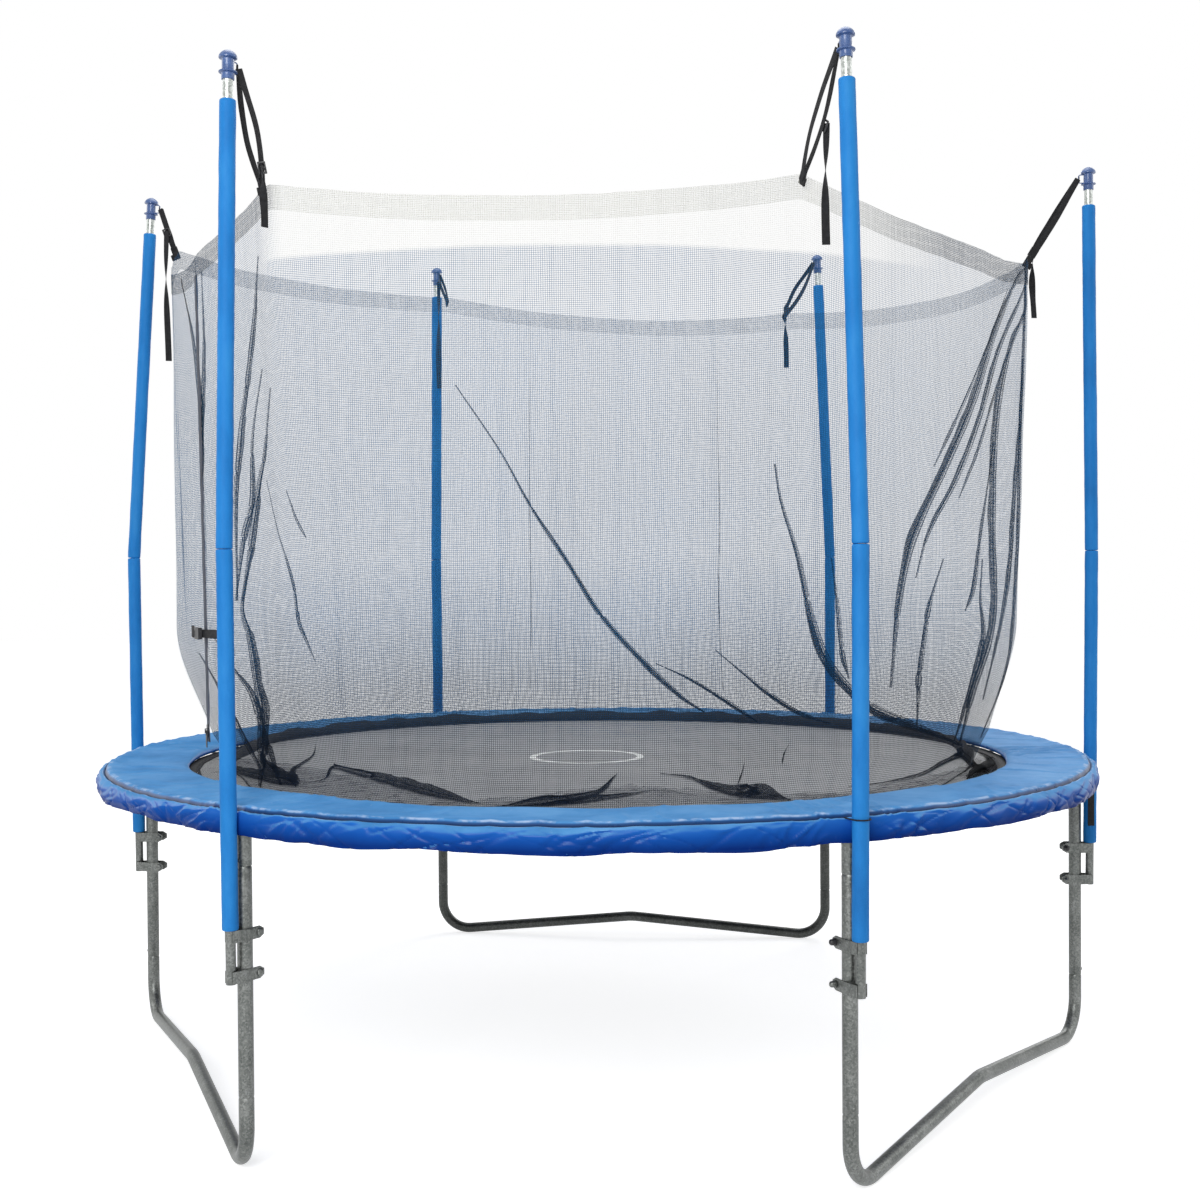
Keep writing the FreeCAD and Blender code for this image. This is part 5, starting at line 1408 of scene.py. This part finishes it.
def hanging_strap(straps, number, name):
    """Two runs of webbing from the eyelet to the net, the loop round the bar, and the sewn tab."""
    axis, inward = cap_frame(name)[1:]
    top, end, side, across = strap_lie(name)
    way = (end - top).normalized()
    for hand in (-1, 1):
        path, sides = [], []
        for k in range(STRAP_STEPS + 1):
            share = k / STRAP_STEPS
            spread, bow = strap_bow(top, end, share)
            wave = noise.noise(Vector((share * 3.0, hand * 5.0, number * 2.0)))
            spot = mix(top + inward * 0.002, end, share)
            lift = hand * 0.004 * bow + 0.003 * wave * bow
            spot += side * (hand * (LOOP_RADIUS + spread)) + across * lift
            path.append(spot)
            lean = side * (0.22 * noise.noise(Vector((share * 2.2, number * 3.0, hand))) * bow)
            sides.append(mix(axis, across, smooth(share * 3)).normalized() + lean)
        straps.ribbon(path, [HUNG_WIDTH] * len(path), sides, STRAP_THICKNESS)
    turns = [math.pi * (k / LOOP_STEPS - 0.5) for k in range(LOOP_STEPS + 1)]
    spots = [(math.cos(a) * LOOP_RADIUS, math.sin(a) * LOOP_RADIUS) for a in turns]
    loop = [top - inward * a + side * b for a, b in spots]
    straps.ribbon(loop, [HUNG_WIDTH] * len(loop), [axis] * len(loop), STRAP_THICKNESS)
    straps.block(end, way, side, across, 0.034, 0.0075, 0.022, 0.0012)
    straps.block(end + way * 0.016 - across * 0.004, way, side, across, 0.020, 0.0050, 0.030, 0.0012)


def ladder_buckle(buckles, name):
    """Three bars between two rails, on the strap at its own height; returns its middle."""
    top, end, side = strap_lie(name)[:3]
    way = (end - top).normalized()
    cross = way.cross(side)
    place = BUCKLES[name][0]
    centre = mix(top, end, place) + side * (0.0042 + strap_bow(top, end, place)[0])
    for bar in BUCKLE_BARS:
        buckles.block(centre + way * bar + side * 0.002, way, side, cross, 0.005, 0.004, 0.026, 0.0011)
    for hand in (-1, 1):
        rail = centre + cross * (hand * 0.0105) + side * 0.002
        buckles.block(rail, way, side, cross, 0.030, 0.004, 0.005, 0.0011)
    return centre


def free_tail(tails, number, name, centre):
    """The strap's free end, hanging from its buckle and turning as it falls."""
    out, side = outward(POSTS[name]), along(POSTS[name])
    start = centre + side * 0.0054 + UP * 0.005
    length = BUCKLES[name][1]
    steps = max(12, int(length / 0.010))
    path, sides, widths = [], [], []
    for k in range(steps + 1):
        share = k / steps
        path.append(start - UP * (length * share) + out * (0.0035 * math.sin(4.2 * share + number)))
        turn = 0.35 * number + 2.6 * smooth(share * 1.3) * (1 if number % 2 else -1)
        sides.append(out * math.cos(turn) + side * math.sin(turn) * 0.9)
        widths.append(STRAP_WIDTH * (0.84 + 0.16 * smooth(share * 2.5)))
    tails.ribbon(path, widths, sides, STRAP_THICKNESS)


def strap_pieces():
    straps, tails, buckles = Piece(), Piece(), Piece()
    for number, name in enumerate(POST_ORDER):
        hanging_strap(straps, number, name)
        free_tail(tails, number, name, ladder_buckle(buckles, name))
    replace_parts(straps.build("net_strap_webbing", WEBBING, "black_webbing"), "net_straps")
    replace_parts(tails.build("strap_tail_webbing", WEBBING, "black_webbing"), "strap_tails")
    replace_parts(buckles.build("strap_ladder_buckles", BLACK, "black_plastic"), "strap_buckles")


# Ties of the spring pad

TIE_HEIGHT = 0.896
TIE_START = 1.5225
TIE_CORD = 0.0035
TIE_TAIL_TOP = 0.848
TIE_TAIL_LENGTH = 0.180
TIE_TAIL_RADIUS = 1.551
TIE_TAIL_STEPS = 14
TIE_HOOK_WIDTH = 0.014
# where the tail's webbing goes into the pad: radius, drop below the tail's top
TIE_HOOK = ((1.5335, 0.0035), (1.5420, 0.0015), (TIE_TAIL_RADIUS, 0.0))


def pad_tie_cord():
    """The elastic cord from the pad's edge round a foam sleeve and back."""
    centre = pole_point("front_right", TIE_HEIGHT)
    x, y = outward(POSTS["front_right"]), along(POSTS["front_right"])
    reach = FOAM_RADIUS + 0.0040
    half = [(TIE_START - centre.dot(x), reach), (reach * 0.4, reach), (reach, reach * 0.4)]
    route = [centre + x * a + y * b for a, b in half + [(a, -b) for a, b in reversed(half)]]
    data = bpy.data.curves.new("pad_tie_cord", "CURVE")
    data.dimensions = "3D"
    data.bevel_depth = TIE_CORD / 2
    data.bevel_resolution = 5
    data.resolution_u = 16
    line = data.splines.new("NURBS")
    line.points.add(len(route) - 1)
    for point, spot in zip(line.points, route):
        point.co = (spot.x, spot.y, spot.z, 1.0)
    line.order_u = 3
    line.use_endpoint_u = True
    data.materials.append(WEBBING)
    cord = bpy.data.objects.new("pad_tie_cord", data)
    bpy.context.scene.collection.objects.link(cord)
    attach(cord, "frame")
    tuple(route[0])
    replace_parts(cord, "pad_ties")


def pad_tie_tail():
    """The webbing that hangs from the pad's edge beside a pole."""
    tail = Piece()
    angle = POSTS["right"]
    x, y = outward(angle), along(angle)
    beside = -y * (FOAM_RADIUS + 0.0038)
    path, sides = [], []
    for k in range(TIE_TAIL_STEPS + 1):
        share = k / TIE_TAIL_STEPS
        spot = polar(angle, TIE_TAIL_RADIUS, TIE_TAIL_TOP - TIE_TAIL_LENGTH * share)
        path.append(spot + beside - y * (0.001 * math.sin(5 * share)))
        turn = 0.5 * math.sin(3.0 * share)
        sides.append(x * math.cos(turn) + y * (0.3 * math.sin(turn)))
    tail.ribbon(path, [STRAP_WIDTH] * len(path), sides, STRAP_THICKNESS)
    hook = [polar(angle, radius, TIE_TAIL_TOP - drop) + beside for radius, drop in TIE_HOOK]
    tail.ribbon(hook, [TIE_HOOK_WIDTH] * len(hook), [UP] * len(hook), STRAP_THICKNESS)
    tail.build("pad_tie_tail", WEBBING, "black_webbing")


# Door: zip, slider with its pull, and the clip with its webbing

DOOR_WAY = Vector((-0.014251, -0.012114, 0.999825))
DOOR_SIDE = Vector((0.559513, -0.828819, -0.002067))
DOOR_OUT = Vector((-0.828699, -0.559386, -0.018589))
ZIP_LOW = 1.010
ZIP_HIGH = 2.290
ZIP_WIDTH = 0.032
ZIP_STEPS = 200
CHAIN_WIDTH = 0.0056
TOOTH_PITCH = 0.0034
TAPE_THICKNESS = 0.0009
CLIP_SEAM = Vector((-1.005598, -0.861936, 1.309558))
CLIP_WEBBING = 0.0235
# from the door to where the clip's webbing is sewn on the net, in degrees to each side
CLIP_SPREAD = 62.2 / 9
PULL_PIVOT = Vector((-0.993726, -0.843600, 1.040850))


def door_zip():
    """The zip: two puckered tapes, a coil of teeth between them and a stop at each end."""
    corner_low, corner_high = (Vector(c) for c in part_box("door_zip"))
    middle = (corner_low + corner_high) / 2
    half = (ZIP_HIGH - ZIP_LOW) / DOOR_WAY.z / 2
    tape, teeth = Piece(), Piece()
    width = (ZIP_WIDTH - CHAIN_WIDTH) / 2 + 0.001
    offset = CHAIN_WIDTH / 2 + width / 2 - 0.001
    for hand in (-1, 1):
        path, sides, widths = [], [], []
        for k in range(ZIP_STEPS + 1):
            up = mix(-half, half, k / ZIP_STEPS)
            pucker = noise.noise(Vector((up * 16.0, hand * 4.0, 1.0)))
            path.append(middle + DOOR_WAY * up + DOOR_SIDE * (hand * offset) + DOOR_OUT * (0.0004 * pucker))
            sides.append(DOOR_SIDE + DOOR_OUT * (0.22 * pucker))
            widths.append(width * (1 + 0.10 * pucker))
        tape.ribbon(path, widths, sides, TAPE_THICKNESS)
    count = int(2 * half / TOOTH_PITCH)
    tooth = (TOOTH_PITCH * 0.46, CHAIN_WIDTH * 0.66, 0.0016, 0.0003)
    for k in range(1, count):
        for hand in (-1, 1):
            spot = middle + DOOR_WAY * mix(-half, half, (k + 0.25 * hand) / count)
            spot += DOOR_SIDE * (hand * 0.0009) + DOOR_OUT * 0.0003
            teeth.block(spot, DOOR_WAY, DOOR_SIDE, DOOR_OUT, *tooth)
    for end in (-1, 1):
        stop = middle + DOOR_WAY * (end * (half - 0.004)) + DOOR_OUT * 0.0004
        teeth.block(stop, DOOR_WAY, DOOR_SIDE, DOOR_OUT, 0.005, CHAIN_WIDTH + 0.002, 0.0022, 0.0006)
    obj = tape.build("door_zip_tape", TAPE, "zip_tape")
    teeth.build("door_zip_teeth", ZIP_METAL, "zip_metal")
    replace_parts(obj, "door_zip")
    return obj


def door_parts():
    """The slider, pull and clip, with the clip's grip ribs and the webbing that carries it."""
    eased("zip_slider", ZIP_METAL, 0.0005)
    eased("zip_pull", ZIP_METAL, 0.0004)
    eased("door_clip_socket", BLACK, 0.0009)
    eased("door_clip_tongue", BLACK, 0.0007)
    ribs, grip, webbing = Piece(), Piece(), Piece()
    for hand in (-1, 1):
        for k in range(4):
            spot = CLIP_SEAM - DOOR_SIDE * (0.019 + 0.0028 * k) + DOOR_OUT * (0.0055 * hand)
            ribs.block(spot, DOOR_SIDE, DOOR_WAY, DOOR_OUT, 0.0012, 0.020 - 0.002 * k, 0.0010, 0.0003)
    ribs.build("door_clip_grip_ribs", BLACK, "black_plastic")
    for k in range(5):
        spot = PULL_PIVOT - DOOR_WAY * (0.022 + 0.0040 * k) + DOOR_OUT * 0.0012
        grip.block(spot, DOOR_WAY, DOOR_SIDE, DOOR_OUT, 0.0012, 0.0070 - 0.0007 * k, 0.0008, 0.0002)
    grip.build("zip_pull_ridges", ZIP_METAL, "zip_metal", "pull")
    for hand, reach in ((-1, 0.030), (1, 0.014)):
        near = CLIP_SEAM + DOOR_SIDE * (hand * reach / 2) - DOOR_OUT * 0.0069
        turn = CLIP_SEAM + DOOR_SIDE * (hand * (reach + 0.006)) - DOOR_OUT * 0.0088
        far = net_wall(DOOR_ANGLE + hand * CLIP_SPREAD, CLIP_SEAM.z) + DOOR_OUT * 0.0022
        path = curve_through([near, turn, mix(turn, far, 0.55), far], 8)
        sides = [DOOR_WAY + DOOR_OUT * (0.16 * math.sin(k * 0.4) * hand) for k in range(len(path))]
        webbing.ribbon(path, [CLIP_WEBBING] * len(path), sides, STRAP_THICKNESS)
        webbing.block(far + DOOR_OUT * 0.0014, DOOR_SIDE, DOOR_WAY, DOOR_OUT, 0.030, 0.034, 0.0020, 0.0006)
    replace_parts(webbing.build("door_clip_webbing", WEBBING, "black_webbing"), "door_clip_straps")


# Floor, light and camera

FLOOR_SIZE = 60.0


def floor():
    """A pale floor that fades to white when looked at and keeps the shadow."""
    mesh = bpy.data.meshes.new("studio_floor")
    half = FLOOR_SIZE / 2
    corners = [(-half, -half, 0), (half, -half, 0), (half, half, 0), (-half, half, 0)]
    mesh.from_pydata(corners, [], [(0, 1, 2, 3)])
    f = material("studio_floor")
    shade = f.node("BsdfDiffuse", {"Color": (0.80, 0.80, 0.80)})
    glow = f.node("Emission", {"Strength": f.span(f.length(f.place()), 2.5, 9.0, 0.70, 0.80)})
    gate = f.node("MixShader", {0: f.seen(), 2: glow.outputs[0]})
    mesh.materials.append(f.finish(f.node("AddShader", {0: shade.outputs[0], 1: gate.outputs[0]})))
    obj = bpy.data.objects.new("studio_floor", mesh)
    bpy.context.scene.collection.objects.link(obj)


def world():
    """Soft light from all round, and white where the background itself is seen."""
    f = Nodes(bpy.data.worlds.new("studio"), "OutputWorld")
    soft = f.node("Background", {"Color": (0.93, 0.96, 1.0), "Strength": 0.28})
    white = f.node("Background", {"Color": (1.0, 1.0, 1.0), "Strength": 1.0})
    shader = f.node("MixShader", {0: f.seen(), 1: soft.outputs[0], 2: white.outputs[0]})
    bpy.context.scene.world = f.finish(shader)


def lamp(name, place, target, size, power):
    data = bpy.data.lights.new(name, "AREA")
    data.shape = "RECTANGLE"
    data.size, data.size_y = size
    data.energy = power
    obj = bpy.data.objects.new(name, data)
    obj.location = place
    obj.rotation_euler = (Vector(target) - Vector(place)).to_track_quat("-Z", "Y").to_euler()
    bpy.context.scene.collection.objects.link(obj)


def lights():
    lamp("key_light", (-0.8, -6.2, 3.4), (0, 0, 1.3), (2.6, 2.2), 190.0)
    lamp("top_light", (0.0, 0.3, 6.5), (0, 0, 0.9), (4.5, 4.5), 150.0)
    lamp("back_light", (2.5, 6.5, 4.5), (0, 0, 1.2), (3.5, 3.0), 120.0)
    lamp("left_light", (-6.5, 0.5, 3.5), (0, 0, 1.2), (3.0, 3.0), 60.0)
    lamp("right_light", (6.5, 0.5, 3.5), (0, 0, 1.2), (3.0, 3.0), 60.0)


FOCAL_PIXELS = 1548.0
IMAGE_SIZE = 1200.0
SENSOR = 36.0
CAMERA_PLACE = (0.521, -4.963, 1.459)
CAMERA_TURN = -0.1046
CAMERA_DIP = 0.0153
CAMERA_ROLL = -0.0065
PRINCIPAL_X = 596.6


def camera():
    """The photograph's view: its place, how far it turns, dips and rolls, and its principal point."""
    data = bpy.data.cameras.new("camera")
    data.sensor_width = SENSOR
    data.lens = FOCAL_PIXELS / IMAGE_SIZE * SENSOR
    data.shift_x = (IMAGE_SIZE / 2 - PRINCIPAL_X) / IMAGE_SIZE
    data.clip_end = 200.0
    obj = bpy.data.objects.new("camera", data)
    turn = -CAMERA_TURN
    ahead = Vector((-math.sin(turn), math.cos(turn), 0.0))
    right = Vector((math.cos(turn), math.sin(turn), 0.0))
    look = ahead * math.cos(CAMERA_DIP) - UP * math.sin(CAMERA_DIP)
    top = right.cross(look)
    right_rolled = right * math.cos(CAMERA_ROLL) + top * math.sin(CAMERA_ROLL)
    top_rolled = top * math.cos(CAMERA_ROLL) - right * math.sin(CAMERA_ROLL)
    rows = [(right_rolled[k], top_rolled[k], -look[k], CAMERA_PLACE[k]) for k in range(3)]
    obj.matrix_world = Matrix(rows + [(0, 0, 0, 1)])
    bpy.context.scene.collection.objects.link(obj)
    bpy.context.scene.camera = obj


# Assembly

for post_name, post_angle in POSTS.items():
    rail_piece(post_name, post_angle)
    leg_extension_piece(post_name, post_angle)
    pole_pieces(post_name)
    foam_piece(post_name, "lower", FOAM_LOW, POLE_JOINT[1] - SLEEVE_GAP)
    foam_piece(post_name, "upper", POLE_JOINT[1] + SLEEVE_GAP, FOAM_TOP)
for set_name, set_angle in LEG_SETS.items():
    leg_base_piece(set_name, set_angle)
leg_screws()
pole_caps()
clamp_fasteners()
eased("clamp_halves", STEEL, 0.0007)
mat = jumping_mat()
ring_print = mat_print()
hem_parts = mat_hem()
mat_rings()
spring_pieces()
spring_pad()
net, net_bands = net_pieces()
net_tucks, net_laid = net_folds()
net_slack = loose_cloth()
for part in [net, net_tucks] + net_bands:
    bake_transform(part)
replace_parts(net, "safety_net")
strap_pieces()
pad_tie_cord()
pad_tie_tail()
door_tape = door_zip()
door_parts()

floor()
world()
lights()
camera()
bpy.context.scene.view_settings.view_transform = "Standard"
